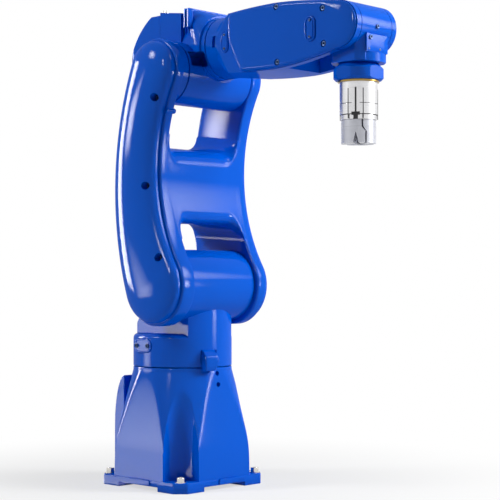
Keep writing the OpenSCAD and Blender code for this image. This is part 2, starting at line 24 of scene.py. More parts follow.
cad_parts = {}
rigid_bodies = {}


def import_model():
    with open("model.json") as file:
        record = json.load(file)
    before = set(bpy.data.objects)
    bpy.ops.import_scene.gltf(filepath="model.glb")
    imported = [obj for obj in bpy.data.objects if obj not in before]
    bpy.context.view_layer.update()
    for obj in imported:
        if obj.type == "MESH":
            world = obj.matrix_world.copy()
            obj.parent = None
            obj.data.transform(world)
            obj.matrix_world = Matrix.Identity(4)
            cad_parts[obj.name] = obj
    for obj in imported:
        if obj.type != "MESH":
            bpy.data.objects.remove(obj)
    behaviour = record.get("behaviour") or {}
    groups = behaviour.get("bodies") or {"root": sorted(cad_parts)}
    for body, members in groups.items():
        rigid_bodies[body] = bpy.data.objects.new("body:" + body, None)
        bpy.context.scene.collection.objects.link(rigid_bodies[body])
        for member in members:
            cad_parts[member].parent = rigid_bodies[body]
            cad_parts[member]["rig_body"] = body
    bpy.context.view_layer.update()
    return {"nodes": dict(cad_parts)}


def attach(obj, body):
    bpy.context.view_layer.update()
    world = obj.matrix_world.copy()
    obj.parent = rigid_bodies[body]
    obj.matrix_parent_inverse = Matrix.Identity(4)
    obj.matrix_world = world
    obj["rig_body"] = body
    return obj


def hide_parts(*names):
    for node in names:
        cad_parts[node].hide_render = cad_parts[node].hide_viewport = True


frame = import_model()
PAINTED_PIECES = bpy.data.collections.new("painted_pieces")
PAINTED_BASE = bpy.data.collections.new("painted_base")

LOG = logging.getLogger("robot_arm")
MM = 0.001
SCALE = "Mark Scale"
MERGE_M = 2e-6
BUMP_DEPTH_M = 0.0004
SHARP_DEG = 40.0
FLAT_DEG = 0.4
EDGE_STEPS = 5
Array = np.ndarray
Point = tuple[float, float, float]
Colour = tuple[float, float, float, float]


class Slot(Enum):
    """Material slots of the record."""

    PAINT = "blue_paint"
    METAL = "bright_metal"
    JAW = "jaw_steel"
    FINGER = "finger_metal"


class NodeSheet:
    """A node tree with short calls for adding and joining nodes."""

    def __init__(self, tree: bpy.types.NodeTree) -> None:
        """Keeps the tree that nodes are added to."""
        self.tree = tree

    def add(self, kind: str, **values: object) -> bpy.types.Node:
        """Adds a node and sets its properties and inputs.

        Args:
            kind: The node's type name.
            **values: Properties by name, and inputs as in_NAME with spaces as _.

        Returns:
            The new node.
        """
        node = self.tree.nodes.new(kind)
        for name, value in values.items():
            if name.startswith("in_"):
                node.inputs[name[3:].replace("_", " ")].default_value = value
            else:
                setattr(node, name, value)
        return node

    def join(self, source: bpy.types.NodeSocket, target: bpy.types.NodeSocket) -> None:
        """Links an output to an input."""
        self.tree.links.new(source, target)

    def combine(
        self,
        operation: str,
        first: bpy.types.NodeSocket | float,
        second: bpy.types.NodeSocket | float,
    ) -> bpy.types.NodeSocket:
        """Adds a math node on two values, each a socket or a number.

        Args:
            operation: The operation's name.
            first: The first value.
            second: The second value.

        Returns:
            The result's socket.
        """
        node = self.add("ShaderNodeMath", operation=operation)
        for socket, value in zip(node.inputs, (first, second)):
            if isinstance(value, float):
                socket.default_value = value
            else:
                self.join(value, socket)
        return node.outputs["Value"]


def open_group(name: str, outputs: list[str]) -> NodeSheet:
    """Starts a shader node group with a scale to set and float outputs.

    Args:
        name: The group's name.
        outputs: Output names.

    Returns:
        The group's sheet, with its Group Input and Group Output nodes.
    """
    tree = bpy.data.node_groups.new(name, "ShaderNodeTree")
    tree.interface.new_socket(SCALE, in_out="INPUT", socket_type="NodeSocketFloat")
    for label in outputs:
        tree.interface.new_socket(label, in_out="OUTPUT", socket_type="NodeSocketFloat")
    sheet = NodeSheet(tree)
    sheet.add("NodeGroupInput", name="given")
    sheet.add("NodeGroupOutput", name="result")
    return sheet


def painted_skin_group() -> bpy.types.NodeTree:
    """Sprayed enamel: slow tone drift, patchy gloss and fine orange peel.

    Returns:
        A group with outputs Tone, Gloss and Peel, all from noise on Object coordinates.
    """
    sheet = open_group("painted_skin", ["Tone", "Gloss", "Peel"])
    nodes = sheet.tree.nodes
    place = sheet.add("ShaderNodeTexCoord").outputs["Object"]
    drift = sheet.add("ShaderNodeTexNoise", in_Scale=6.0, in_Detail=2.0)
    patches = sheet.add("ShaderNodeTexNoise", in_Scale=38.0, in_Detail=4.0)
    peel = sheet.add("ShaderNodeTexNoise", in_Detail=1.0)
    for noise in (drift, patches, peel):
        sheet.join(place, noise.inputs["Vector"])
    sheet.join(nodes["given"].outputs[SCALE], peel.inputs["Scale"])
    for label, noise in (("Tone", drift), ("Gloss", patches), ("Peel", peel)):
        sheet.join(noise.outputs["Fac"], nodes["result"].inputs[label])
    return sheet.tree


def turned_marks_group() -> bpy.types.NodeTree:
    """Machined metal: fine rings across the upright axis and soft smudges.

    Returns:
        A group with outputs Rings and Smudge, from noise stretched round the Z axis.
    """
    sheet = open_group("turned_marks", ["Rings", "Smudge"])
    nodes = sheet.tree.nodes
    place = sheet.add("ShaderNodeTexCoord").outputs["Object"]
    parts = sheet.add("ShaderNodeSeparateXYZ")
    rings = sheet.add("ShaderNodeTexNoise", noise_dimensions="1D", in_Scale=1.0, in_Detail=3.0)
    smudge = sheet.add("ShaderNodeTexNoise", in_Scale=70.0, in_Detail=3.0)
    sheet.join(place, parts.inputs["Vector"])
    height = sheet.combine("MULTIPLY", parts.outputs["Z"], nodes["given"].outputs[SCALE])
    sheet.join(height, rings.inputs["W"])
    sheet.join(place, smudge.inputs["Vector"])
    sheet.join(rings.outputs["Fac"], nodes["result"].inputs["Rings"])
    sheet.join(smudge.outputs["Fac"], nodes["result"].inputs["Smudge"])
    return sheet.tree


@dataclass(frozen=True)
class Finish:
    """What every finish says: its name, colours, gloss and record slot.

    The group outputs named in feeds give the share of the second colour, the place
    between the low and the high roughness, and the relief.
    """

    feeds: ClassVar[tuple[str, str, str]]
    name: str
    slot: Slot
    colour: Point
    second: Point
    rough_low: float
    rough_high: float
    bump: float
    scale: float
    metallic: float = 0.0
    coat: float = 0.0
    coat_rough: float = 0.1
    specular: float = 0.5

    def material(self, group: bpy.types.NodeTree) -> bpy.types.Material:
        """Builds the material round a node group, with its uniform values on the shader.

        Args:
            group: The node group of the finish's kind.

        Returns:
            The material.
        """
        material = bpy.data.materials.new(self.name)
        material.use_nodes = True
        sheet = NodeSheet(material.node_tree)
        principled = material.node_tree.nodes["Principled BSDF"]
        principled.inputs["Metallic"].default_value = self.metallic
        principled.inputs["Coat Weight"].default_value = self.coat
        principled.inputs["Coat Roughness"].default_value = self.coat_rough
        principled.inputs["Specular IOR Level"].default_value = self.specular
        marks = sheet.add("ShaderNodeGroup", node_tree=group)
        marks.inputs[SCALE].default_value = self.scale
        tone, gloss, height = (marks.outputs[label] for label in self.feeds)
        mix = sheet.add("ShaderNodeMix", data_type="RGBA")
        mix.inputs["A"].default_value = (*self.colour, 1.0)
        mix.inputs["B"].default_value = (*self.second, 1.0)
        sheet.join(tone, mix.inputs["Factor"])
        sheet.join(mix.outputs["Result"], principled.inputs["Base Color"])
        spread = sheet.add("ShaderNodeMapRange")
        spread.inputs["To Min"].default_value = self.rough_low
        spread.inputs["To Max"].default_value = self.rough_high
        sheet.join(gloss, spread.inputs["Value"])
        sheet.join(spread.outputs["Result"], principled.inputs["Roughness"])
        bump = sheet.add("ShaderNodeBump", in_Strength=self.bump, in_Distance=BUMP_DEPTH_M)
        sheet.join(height, bump.inputs["Height"])
        sheet.join(bump.outputs["Normal"], principled.inputs["Normal"])
        return material


@dataclass(frozen=True)
class Enamel(Finish):
    """Sprayed enamel under a clear, glossy coat."""

    feeds: ClassVar[tuple[str, str, str]] = ("Tone", "Gloss", "Peel")


@dataclass(frozen=True)
class MachinedMetal(Finish):
    """Turned or milled metal with fine rings and smudges."""

    feeds: ClassVar[tuple[str, str, str]] = ("Smudge", "Rings", "Rings")


BLUE_ENAMEL = Enamel(
    name="blue_enamel",
    slot=Slot.PAINT,
    colour=(0.0, 0.098, 0.62),
    second=(0.0, 0.088, 0.56),
    rough_low=0.34,
    rough_high=0.44,
    bump=0.05,
    scale=420.0,
    coat=0.20,
    coat_rough=0.07,
    specular=0.0,
)
SATIN_ALUMINIUM = MachinedMetal(
    name="satin_aluminium",
    slot=Slot.METAL,
    colour=(0.74, 0.74, 0.75),
    second=(0.64, 0.64, 0.66),
    rough_low=0.20,
    rough_high=0.30,
    bump=0.004,
    scale=900.0,
    metallic=0.9,
)
ZINC_STEEL = MachinedMetal(
    name="zinc_steel",
    slot=Slot.METAL,
    colour=(0.72, 0.70, 0.66),
    second=(0.56, 0.54, 0.51),
    rough_low=0.14,
    rough_high=0.26,
    bump=0.05,
    scale=2400.0,
    metallic=1.0,
)
# Brass darkened to stand for the ring's shade: painted shade on the tool flange.
SHADED_BRASS_RING = MachinedMetal(
    name="brass_ring_darkened_as_shade",
    slot=Slot.METAL,
    colour=(0.42, 0.29, 0.09),
    second=(0.26, 0.17, 0.05),
    rough_low=0.16,
    rough_high=0.30,
    bump=0.04,
    scale=900.0,
    metallic=1.0,
)
BLUED_STEEL = MachinedMetal(
    name="blued_steel",
    slot=Slot.JAW,
    colour=(0.045, 0.085, 0.20),
    second=(0.025, 0.050, 0.13),
    rough_low=0.22,
    rough_high=0.34,
    bump=0.04,
    scale=2400.0,
    metallic=0.8,
)
# Black steel of the jaws; also the colour of the gripper's painted shade strips and seam rings.
BLACK_STEEL_AND_SHADE = MachinedMetal(
    name="black_steel_and_painted_shade",
    slot=Slot.JAW,
    colour=(0.020, 0.020, 0.022),
    second=(0.035, 0.035, 0.038),
    rough_low=0.30,
    rough_high=0.46,
    bump=0.05,
    scale=900.0,
    metallic=0.6,
)
GROUND_STEEL = MachinedMetal(
    name="ground_steel",
    slot=Slot.FINGER,
    colour=(0.56, 0.57, 0.62),
    second=(0.46, 0.47, 0.52),
    rough_low=0.24,
    rough_high=0.36,
    bump=0.03,
    scale=600.0,
    metallic=0.5,
)


class Paintbox:
    """Materials by finish, built once from shared node groups."""

    def __init__(self) -> None:
        """Builds the two shared groups."""
        self.skin = painted_skin_group()
        self.marks = turned_marks_group()
        self.made: dict[Finish, bpy.types.Material] = {}

    def of(self, finish: Finish) -> bpy.types.Material:
        """Gives a finish's material, made at its first use."""
        if finish not in self.made:
            group = self.skin if isinstance(finish, Enamel) else self.marks
            self.made[finish] = finish.material(group)
        return self.made[finish]


@dataclass
class Patch:
    """A surface on a grid of points, in metres.

    Attributes:
        points: Array of rows by columns by three.
        wraps: Whether the last column joins the first.
    """

    points: Array
    wraps: bool = True

    def quads(self) -> Array:
        """Corner indices of the grid's quads, as rows of four."""
        rows, cols = self.points.shape[:2]
        row = np.arange(rows - 1)
        col = np.arange(cols if self.wraps else cols - 1)
        a, b = np.meshgrid(row, col, indexing="ij")
        after = (b + 1) % cols
        corners = [a * cols + b, a * cols + after, (a + 1) * cols + after, (a + 1) * cols + b]
        return np.stack(corners, axis=-1).reshape(-1, 4)


def turned(profile: Array, sides: Array | float = 0.0, steps: int = 48) -> Array:
    """Carries a profile round the Z axis.

    A point is (r cos a, r sin a, h). Where a row's share of six-sidedness is 1, r is
    the distance to the flats of a hexagon, so it is divided by the cosine of the
    angle from the nearest flat's middle.

    Args:
        profile: Rows of radius and height.
        sides: Share of six-sidedness of each row.
        steps: Points round the axis, a multiple of six.

    Returns:
        Points as rows by steps by three.
    """
    angle = np.arange(steps) * (2 * math.pi / steps)
    from_flat = (angle + math.pi / 6) % (math.pi / 3) - math.pi / 6
    share = np.broadcast_to(np.asarray(sides, dtype=float), (len(profile),))[:, None]
    radius = profile[:, :1] * (1 - share + share / np.cos(from_flat))
    height = np.broadcast_to(profile[:, 1:], radius.shape)
    return np.stack([radius * np.cos(angle), radius * np.sin(angle), height], axis=-1)


def set_on(points_mm: Array, origin_mm: Point, axis: Point) -> Array:
    """Stands points drawn along Z on a place, along an axis, in metres.

    The drawing's Y axis goes as far up as it can, or along Y where the axis is upright.

    Args:
        points_mm: Points in millimetres, last axis three long.
        origin_mm: Where the drawing's origin goes.
        axis: Where the drawing's Z axis points.

    Returns:
        The placed points in metres.
    """
    out = np.array(axis, dtype=float)
    out /= np.linalg.norm(out)
    guide = np.array([0.0, 0.0, 1.0]) if abs(out[2]) < 0.9 else np.array([0.0, 1.0, 0.0])
    up = guide - (guide @ out) * out
    up /= np.linalg.norm(up)
    basis = np.stack([np.cross(up, out), up, out])
    return (points_mm @ basis + np.array(origin_mm)) * MM


def quarter_round(steps: int) -> tuple[Array, Array]:
    """Shares of inset and of rise along a quarter circle, from the edge inwards."""
    turn = np.linspace(0.0, math.pi / 2, steps)
    return 1 - np.cos(turn), np.sin(turn)


def eased(share: Array) -> Array:
    """A share from 0 to 1 with level ends: 3 s squared less 2 s cubed."""
    return share * share * (3 - 2 * share)


@dataclass(frozen=True)
class SocketScrew:
    """A screw's head with a hexagon socket, and its shank below.

    The socket's mouth is given as shares of the half width and depths below the top.
    """

    head_r_mm: float
    head_h_mm: float
    socket_mm: float
    shank_r_mm: float
    shank_l_mm: float = 4.0
    edge_mm: float = 0.8
    washer_r_mm: float = 0.0
    washer_t_mm: float = 1.6
    washer_edge_mm: float = 0.3
    socket_depth: float = 0.62
    mouth: tuple[tuple[float, float], ...] = ((1.3, 0.0), (1.02, 0.15), (1.0, 0.5))
    steps: int = 36

    def profile(self) -> tuple[Array, Array]:
        """Radius and height from the shank's end to the socket's floor.

        Returns:
            The profile's rows, and each row's share of six-sidedness.
        """
        inset, rise = quarter_round(EDGE_STEPS)
        lift = self.washer_t_mm if self.washer_r_mm else 0.0
        top = lift + self.head_h_mm
        rows = [(0.0, -self.shank_l_mm), (self.shank_r_mm, -self.shank_l_mm), (self.shank_r_mm, 0.0)]
        if self.washer_r_mm:
            rim, edge = self.washer_r_mm, self.washer_edge_mm
            rows += [(rim, 0.0), (rim, lift - edge), (rim - edge, lift)]
        rows += [(self.head_r_mm, lift), (self.head_r_mm, top - self.edge_mm)]
        rounding = np.stack(
            [self.head_r_mm - self.edge_mm * inset, top - self.edge_mm * (1 - rise)], axis=-1
        )
        flat = self.socket_mm / 2
        floor = top - self.socket_depth * self.head_h_mm
        socket = [(flat * share, top - depth) for share, depth in self.mouth]
        socket += [(flat, floor), (0.0, floor)]
        profile = np.concatenate([np.array(rows), rounding[1:], np.array(socket)])
        six = np.zeros(len(profile))
        six[1 - len(socket) :] = 1.0
        return profile, six

    def patch(self, origin_mm: Point, axis: Point) -> Patch:
        """The screw's surface, seated at a place with its head along an axis."""
        profile, six = self.profile()
        return Patch(set_on(turned(profile, six, self.steps), origin_mm, axis))


@dataclass(frozen=True)
class Plate:
    """A plate with round corners and edges, and where it has a rim, a groove inside it."""

    width_mm: float
    height_mm: float
    rise_mm: float
    corner_mm: float
    edge_mm: float = 0.6
    rim_mm: float = 0.0
    groove_mm: float = 0.7
    groove_depth_mm: float = 0.8
    groove_wall_mm: float = 0.1
    lip_mm: float = 0.4
    lip_depth_mm: float = 0.45
    sunk_mm: float = 0.15

    def outline(self, inset: Array, steps: int = 64) -> Array:
        """Points of the outline set in by each inset.

        A point is a corner's centre plus the corner's radius less the inset, and the
        centres move in once the radius is used up.

        Args:
            inset: Distances from the plate's edge.
            steps: Points round the outline, a multiple of four.

        Returns:
            Points as insets by steps by two.
        """
        turn = (np.arange(steps) + 0.5) * (2 * math.pi / steps)
        step = inset[:, None]
        used = np.maximum(self.corner_mm, step)
        x = np.sign(np.cos(turn)) * np.maximum(self.width_mm / 2 - used, 0.0)
        y = np.sign(np.sin(turn)) * np.maximum(self.height_mm / 2 - used, 0.0)
        radius = np.maximum(self.corner_mm - step, 0.0)
        return np.stack([x + radius * np.cos(turn), y + radius * np.sin(turn)], axis=-1)

    def patch(self, origin_mm: Point, axis: Point) -> Patch:
        """The closed plate, its back at a place and its face along an axis."""
        share, lift = quarter_round(EDGE_STEPS)
        top = self.rise_mm
        middle = min(self.width_mm, self.height_mm) / 2
        inset = [[middle, 0.0], share * self.edge_mm]
        height = [[0.0, 0.0], top - self.edge_mm + lift * self.edge_mm]
        if self.rim_mm:
            inner = self.rim_mm + self.groove_mm
            low = top - self.groove_depth_mm
            wall = self.groove_wall_mm
            inset.append([self.rim_mm, self.rim_mm + wall, inner, inner + wall, inner + self.lip_mm])
            height.append([top, low, low, top - self.lip_depth_mm, top - self.sunk_mm])
            top -= self.sunk_mm
        inset.append([middle])
        height.append([top])
        flat = self.outline(np.concatenate(inset))
        rise = np.broadcast_to(np.concatenate(height)[:, None, None], (*flat.shape[:2], 1))
        return Patch(set_on(np.concatenate([flat, rise], axis=-1), origin_mm, axis))


def bore(radius_mm: float, depth_mm: float, origin_mm: Point, axis: Point) -> Patch:
    """The closed space of a round pocket, from its floor to well above its mouth."""
    above = 40.0
    floor = [(0.0, -depth_mm), (radius_mm, -depth_mm), (radius_mm, above), (0.0, above)]
    return Patch(set_on(turned(np.array(floor)), origin_mm, axis))


class Workshop:
    """Turns patches and CAD copies into finished objects that ride on bodies."""

    def __init__(self, paintbox: Paintbox) -> None:
        """Keeps the materials to dress pieces with."""
        self.paintbox = paintbox

    def finish(
        self, name: str, mesh: bpy.types.Mesh, body: str, finish: Finish, sharp_deg: float
    ) -> bpy.types.Object:
        """Makes a mesh an object with its material, smooth shading and body.

        Args:
            name: The piece's name.
            mesh: Its mesh, in place.
            body: The CAD body it rides on.
            finish: The finish that dresses it.
            sharp_deg: Edges that turn more than this stay sharp.

        Returns:
            The object.
        """
        mesh.materials.clear()
        mesh.materials.append(self.paintbox.of(finish))
        mesh.shade_smooth()
        mesh.set_sharp_from_angle(angle=math.radians(sharp_deg))
        piece = bpy.data.objects.new(name, mesh)
        bpy.context.scene.collection.objects.link(piece)
        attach(piece, body)
        if isinstance(finish, Enamel):
            PAINTED_PIECES.objects.link(piece)
            if body == "base":
                PAINTED_BASE.objects.link(piece)
        LOG.info("%s rides on %s, %d faces", name, body, len(mesh.polygons))
        return piece

    def surface(
        self, name: str, patches: list[Patch], body: str, finish: Finish, sharp_deg: float = SHARP_DEG
    ) -> bpy.types.Object:
        """Makes one piece of several patches, its seams and poles closed.

        Args:
            name: The piece's name.
            patches: Surfaces in place, in metres.
            body: The CAD body it rides on.
            finish: The finish that dresses it.
            sharp_deg: Edges that turn more than this stay sharp.

        Returns:
            The object.
        """
        return self.finish(name, self.mesh_of(name, patches), body, finish, sharp_deg)

    def stand_in(
        self,
        node: str,
        patches: list[Patch],
        sharp_deg: float = SHARP_DEG,
        bores: list[Patch] | None = None,
        name: str = "",
    ) -> None:
        """Makes one enamelled piece of several patches, in a CAD solid's place.

        Args:
            node: The CAD node.
            patches: Surfaces in place, in metres.
            sharp_deg: Edges that turn more than this stay sharp.
            bores: Spaces to cut out.
            name: The piece's name, where it isn't the node's.
        """
        body = frame["nodes"][node]["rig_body"]
        piece = self.surface(name or f"{node}_finished", patches, body, BLUE_ENAMEL, sharp_deg)
        if bores:
            self.drill(piece, bores)
        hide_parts(node)

    def mesh_of(self, name: str, patches: list[Patch]) -> bpy.types.Mesh:
        """Makes one mesh of several patches, its seams and poles closed."""
        sizes = [patch.points[..., 0].size for patch in patches]
        starts = np.cumsum([0, *sizes[:-1]])
        points = np.concatenate([patch.points.reshape(-1, 3) for patch in patches])
        quads = np.concatenate([p.quads() + start for p, start in zip(patches, starts)])
        mesh = bpy.data.meshes.new(name)
        mesh.from_pydata(points, [], quads.tolist())
        self.close(mesh)
        return mesh

    @staticmethod
    def close(mesh: bpy.types.Mesh) -> None:
        """Merges a mesh's doubles, drops faces without area and turns faces outwards."""
        work = bmesh.new()
        work.from_mesh(mesh)
        bmesh.ops.remove_doubles(work, verts=work.verts, dist=MERGE_M)
        bmesh.ops.dissolve_degenerate(work, edges=work.edges, dist=MERGE_M / 2)
        bmesh.ops.recalc_face_normals(work, faces=work.faces)
        work.to_mesh(mesh)
        work.free()

    def drill(self, piece: bpy.types.Object, bores: list[Patch]) -> None:
        """Cuts closed patches out of a piece's mesh.

        Args:
            piece: The piece to cut.
            bores: Closed surfaces of the space to cut out.
        """
        cutter = bpy.data.objects.new("bore_cutter", self.mesh_of("bore_cutter", bores))
        bpy.context.scene.collection.objects.link(cutter)
        cut = piece.modifiers.new("bores", "BOOLEAN")
        cut.operation = "DIFFERENCE"
        cut.solver = "EXACT"
        cut.object = cutter
        bpy.context.view_layer.update()
        graph = bpy.context.evaluated_depsgraph_get()
        mesh = bpy.data.meshes.new_from_object(piece.evaluated_get(graph))
        piece.modifiers.clear()
        whole = piece.data
        piece.data = mesh
        mesh.shade_smooth()
        mesh.set_sharp_from_angle(angle=math.radians(SHARP_DEG))
        bpy.data.meshes.remove(whole)
        space = cutter.data
        bpy.data.objects.remove(cutter)
        bpy.data.meshes.remove(space)

    def casting(
        self,
        node: str,
        finish: Finish,
        round_mm: float,
        angle_deg: float = 28.0,
        steps: int = 3,
        bores: list[Patch] | None = None,
        reshape: Callable[[Array], Array] | None = None,
    ) -> bpy.types.Object:
        """Dresses a copy of a CAD solid, its edges rounded, in the solid's place.

        Args:
            node: The CAD node.
            finish: The finish that dresses it.
            round_mm: Width of the rounded edges.
            angle_deg: Edges that turn more than this are rounded.
            steps: Segments across a rounded edge.
            bores: Spaces to cut out before the edges are rounded.
            reshape: Where the copy's points go, in metres.

        Returns:
            The object.
        """
        solid = frame["nodes"][node].data
        places = np.empty(len(solid.vertices) * 3)
        solid.vertices.foreach_get("co", places)
        corners = np.empty(len(solid.loops), dtype=np.int32)
        solid.loops.foreach_get("vertex_index", corners)
        name = f"{node}_finished"
        mesh = bpy.data.meshes.new(name)
        points = places.reshape(-1, 3)
        if reshape:
            points = reshape(points)
        mesh.from_pydata(points, [], corners.reshape(-1, 3).tolist())
        work = bmesh.new()
        work.from_mesh(mesh)
        bmesh.ops.remove_doubles(work, verts=work.verts, dist=MERGE_M)
        level = math.radians(FLAT_DEG)
        bmesh.ops.dissolve_limit(work, angle_limit=level, verts=work.verts, edges=work.edges)
        work.to_mesh(mesh)
        work.free()
        piece = self.finish(name, mesh, frame["nodes"][node]["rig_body"], finish, angle_deg)
        if bores:
            self.drill(piece, bores)
        rounding = piece.modifiers.new("rounded_edges", "BEVEL")
        rounding.width = round_mm * MM
        rounding.segments = steps
        rounding.limit_method = "ANGLE"
        rounding.angle_limit = math.radians(angle_deg)
        rounding.use_clamp_overlap = True
        rounding.harden_normals = True
        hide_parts(node)
        return piece


@dataclass(frozen=True)
class Softbox:
    """A rectangular lamp.

    Attributes:
        name: The lamp's name.
        place: Its centre.
        size: Its width and height.
        glow: Its radiance; power is radiance times pi times area.
        soft: Whether it fades to its edges.
        card: Whether it shows in the paint's gloss only, as a reflector card does.
        base_only: Whether a card shows in the base's paint only.
        target: The point it faces.
        turn_deg: Its turn about the line to its target.
    """

    name: str
    place: Point
    size: tuple[float, float]
    glow: float
    soft: bool = True
    card: bool = False
    base_only: bool = False
    target: Point = (0.05, 0.0, 0.42)
    turn_deg: float = 0.0

    def soften(self, lamp: bpy.types.AreaLight) -> None:
        """Makes the lamp fade to its edges, as 16 u (1 - u) v (1 - v) over its face."""
        lamp.use_nodes = True
        sheet = NodeSheet(lamp.node_tree)
        face = sheet.add("ShaderNodeSeparateXYZ")
        geometry = sheet.add("ShaderNodeNewGeometry")
        sheet.join(geometry.outputs["Parametric"], face.inputs["Vector"])
        share: bpy.types.NodeSocket | float = 16.0
        for side in ("X", "Y"):
            rest = sheet.combine("SUBTRACT", 1.0, face.outputs[side])
            fade = sheet.combine("MULTIPLY", face.outputs[side], rest)
            share = sheet.combine("MULTIPLY", share, fade)
        sheet.join(share, lamp.node_tree.nodes["Emission"].inputs["Strength"])

    def hang(self) -> None:
        """Puts the lamp in the scene, facing its target."""
        data = bpy.data.lights.new(self.name, "AREA")
        data.shape = "RECTANGLE"
        data.size, data.size_y = self.size
        data.energy = self.glow * math.pi * self.size[0] * self.size[1]
        if self.soft:
            self.soften(data)
        lamp = bpy.data.objects.new(self.name, data)
        lamp.location = self.place
        lamp.visible_camera = False
        lamp.visible_diffuse = not self.card
        if self.card:
            lit = PAINTED_BASE if self.base_only else PAINTED_PIECES
            lamp.light_linking.receiver_collection = lit
        facing = Vector(self.target) - Vector(self.place)
        lamp.rotation_mode = "QUATERNION"
        turn = Quaternion((0.0, 0.0, 1.0), math.radians(self.turn_deg))
        lamp.rotation_quaternion = facing.to_track_quat("-Z", "Y") @ turn
        bpy.context.scene.collection.objects.link(lamp)


@dataclass(frozen=True)
class Studio:
    """Camera, lamps, floor and background."""

    camera_place: Point = (1.7276, -1.6446, 0.3394)
    camera_forward: Point = (-0.6909, 0.7229, 0.0206)
    sensor_mm: float = 36.0
    lens_mm: float = 102.45
    floor_half: float = 9.0
    floor_colour: Colour = (0.70, 0.70, 0.70, 1.0)
    floor_fade: tuple[float, float] = (0.15, 0.75)
    floor_white_near: float = 0.62
    dim: Colour = (0.06, 0.065, 0.07, 1.0)
    white: Colour = (1.0, 1.0, 1.0, 1.0)
    boxes: tuple[Softbox, ...] = (
        Softbox("rear_left_strip", (-1.86, -0.74, 0.72), (0.52, 1.1), 48.0, soft=False, card=True),
        Softbox("left_low_card", (-1.42, -1.50, 0.16), (0.95, 0.56), 18.0, card=True),
        Softbox(
            "floor_card",
            (-0.71, -0.76, 0.002),
            (1.9, 0.40),
            13.0,
            soft=False,
            card=True,
            base_only=True,
            target=(-0.71, -0.76, 1.0),
            turn_deg=-43.0,
        ),
        Softbox("upper_left_card", (-1.54, -1.39, 0.83), (0.52, 0.24), 54.0, card=True),
        Softbox("front_left_card", (1.72, 1.20, 0.44), (0.50, 0.66), 34.0, card=True),
        Softbox("right_high_card", (0.50, -2.00, 1.40), (0.40, 0.60), 50.0, card=True),
        Softbox("key", (1.72, 1.20, 1.40), (1.2, 1.2), 28.0),
        Softbox("left_fill", (-1.00, -1.75, 1.80), (0.7, 0.7), 52.0),
        Softbox("top_fill", (1.40, 0.30, 2.00), (0.6, 0.6), 18.0),
    )

    def camera(self) -> None:
        """Puts the camera at the photograph's viewing angle."""
        data = bpy.data.cameras.new("photo_camera")
        data.sensor_width = self.sensor_mm
        data.lens = self.lens_mm
        data.clip_end = 100.0
        camera = bpy.data.objects.new("photo_camera", data)
        camera.location = self.camera_place
        camera.rotation_mode = "QUATERNION"
        camera.rotation_quaternion = Vector(self.camera_forward).to_track_quat("-Z", "Y")
        bpy.context.scene.collection.objects.link(camera)
        bpy.context.scene.camera = camera

    @staticmethod
    def seen_rays(sheet: NodeSheet) -> bpy.types.NodeSocket:
        """Gives 1 for camera, glossy and transmission rays, otherwise 0.

        Args:
            sheet: The sheet of the floor or the world.

        Returns:
            The value's socket.
        """
        rays = sheet.add("ShaderNodeLightPath").outputs
        seen = sheet.combine("MAXIMUM", rays["Is Camera Ray"], rays["Is Glossy Ray"])
        return sheet.combine("MAXIMUM", seen, rays["Is Transmission Ray"])

    def floor(self) -> None:
        """Lays a pale floor that takes the shadow and turns white away from the object."""
        half = self.floor_half
        points = [(-half, -half, 0.0), (half, -half, 0.0), (half, half, 0.0), (-half, half, 0.0)]
        mesh = bpy.data.meshes.new("studio_floor")
        mesh.from_pydata(points, [], [[0, 1, 2, 3]])
        material = bpy.data.materials.new("pale_floor")
        material.use_nodes = True
        sheet = NodeSheet(material.node_tree)
        paper = material.node_tree.nodes["Principled BSDF"]
        paper.inputs["Base Color"].default_value = self.floor_colour
        paper.inputs["Roughness"].default_value = 0.9
        paper.inputs["Specular IOR Level"].default_value = 0.1
        white = sheet.add("ShaderNodeEmission", in_Strength=1.0)
        place = sheet.add("ShaderNodeTexCoord")
        reach = sheet.add("ShaderNodeVectorMath", operation="LENGTH")
        sheet.join(place.outputs["Object"], reach.inputs[0])
        fade = sheet.add("ShaderNodeMapRange", interpolation_type="SMOOTHSTEP")
        fade.inputs["From Min"].default_value, fade.inputs["From Max"].default_value = self.floor_fade
        fade.inputs["To Min"].default_value = self.floor_white_near
        sheet.join(reach.outputs["Value"], fade.inputs["Value"])
        share = sheet.combine("MULTIPLY", self.seen_rays(sheet), fade.outputs["Result"])
        mix = sheet.add("ShaderNodeMixShader")
        sheet.join(share, mix.inputs["Fac"])
        sheet.join(paper.outputs["BSDF"], mix.inputs[1])
        sheet.join(white.outputs["Emission"], mix.inputs[2])
        out = material.node_tree.nodes["Material Output"]
        sheet.join(mix.outputs["Shader"], out.inputs["Surface"])
        mesh.materials.append(material)
        floor = bpy.data.objects.new("studio_floor", mesh)
        bpy.context.scene.collection.objects.link(floor)

    def world(self) -> None:
        """Sets a white background for camera, glossy and transmission rays, grey for other light."""
        world = bpy.data.worlds.new("white_studio")
        world.use_nodes = True
        bpy.context.scene.world = world
        sheet = NodeSheet(world.node_tree)
        shade = world.node_tree.nodes["Background"]
        backdrop = sheet.add("ShaderNodeMix", data_type="RGBA")
        backdrop.inputs["A"].default_value = self.dim
        backdrop.inputs["B"].default_value = self.white
        sheet.join(self.seen_rays(sheet), backdrop.inputs["Factor"])
        sheet.join(backdrop.outputs["Result"], shade.inputs["Color"])

    def build(self) -> None:
        """Sets up the whole studio."""
        self.camera()
        for box in self.boxes:
            box.hang()
        self.floor()
        self.world()
        bpy.context.scene.view_settings.view_transform = "Standard"


RIGHT: Point = (0.0, -1.0, 0.0)
LEFT: Point = (0.0, 1.0, 0.0)
FORWARD: Point = (1.0, 0.0, 0.0)
UP: Point = (0.0, 0.0, 1.0)


def softest(values: list[Array], soft: float) -> Array:
    """The least of several arrays, rounded where two meet: -k log of the sum of exp(-v/k)."""
    stack = np.stack(np.broadcast_arrays(*values))
    least = stack.min(axis=0)
    return least - soft * np.log(np.exp((least - stack) / soft).sum(axis=0))


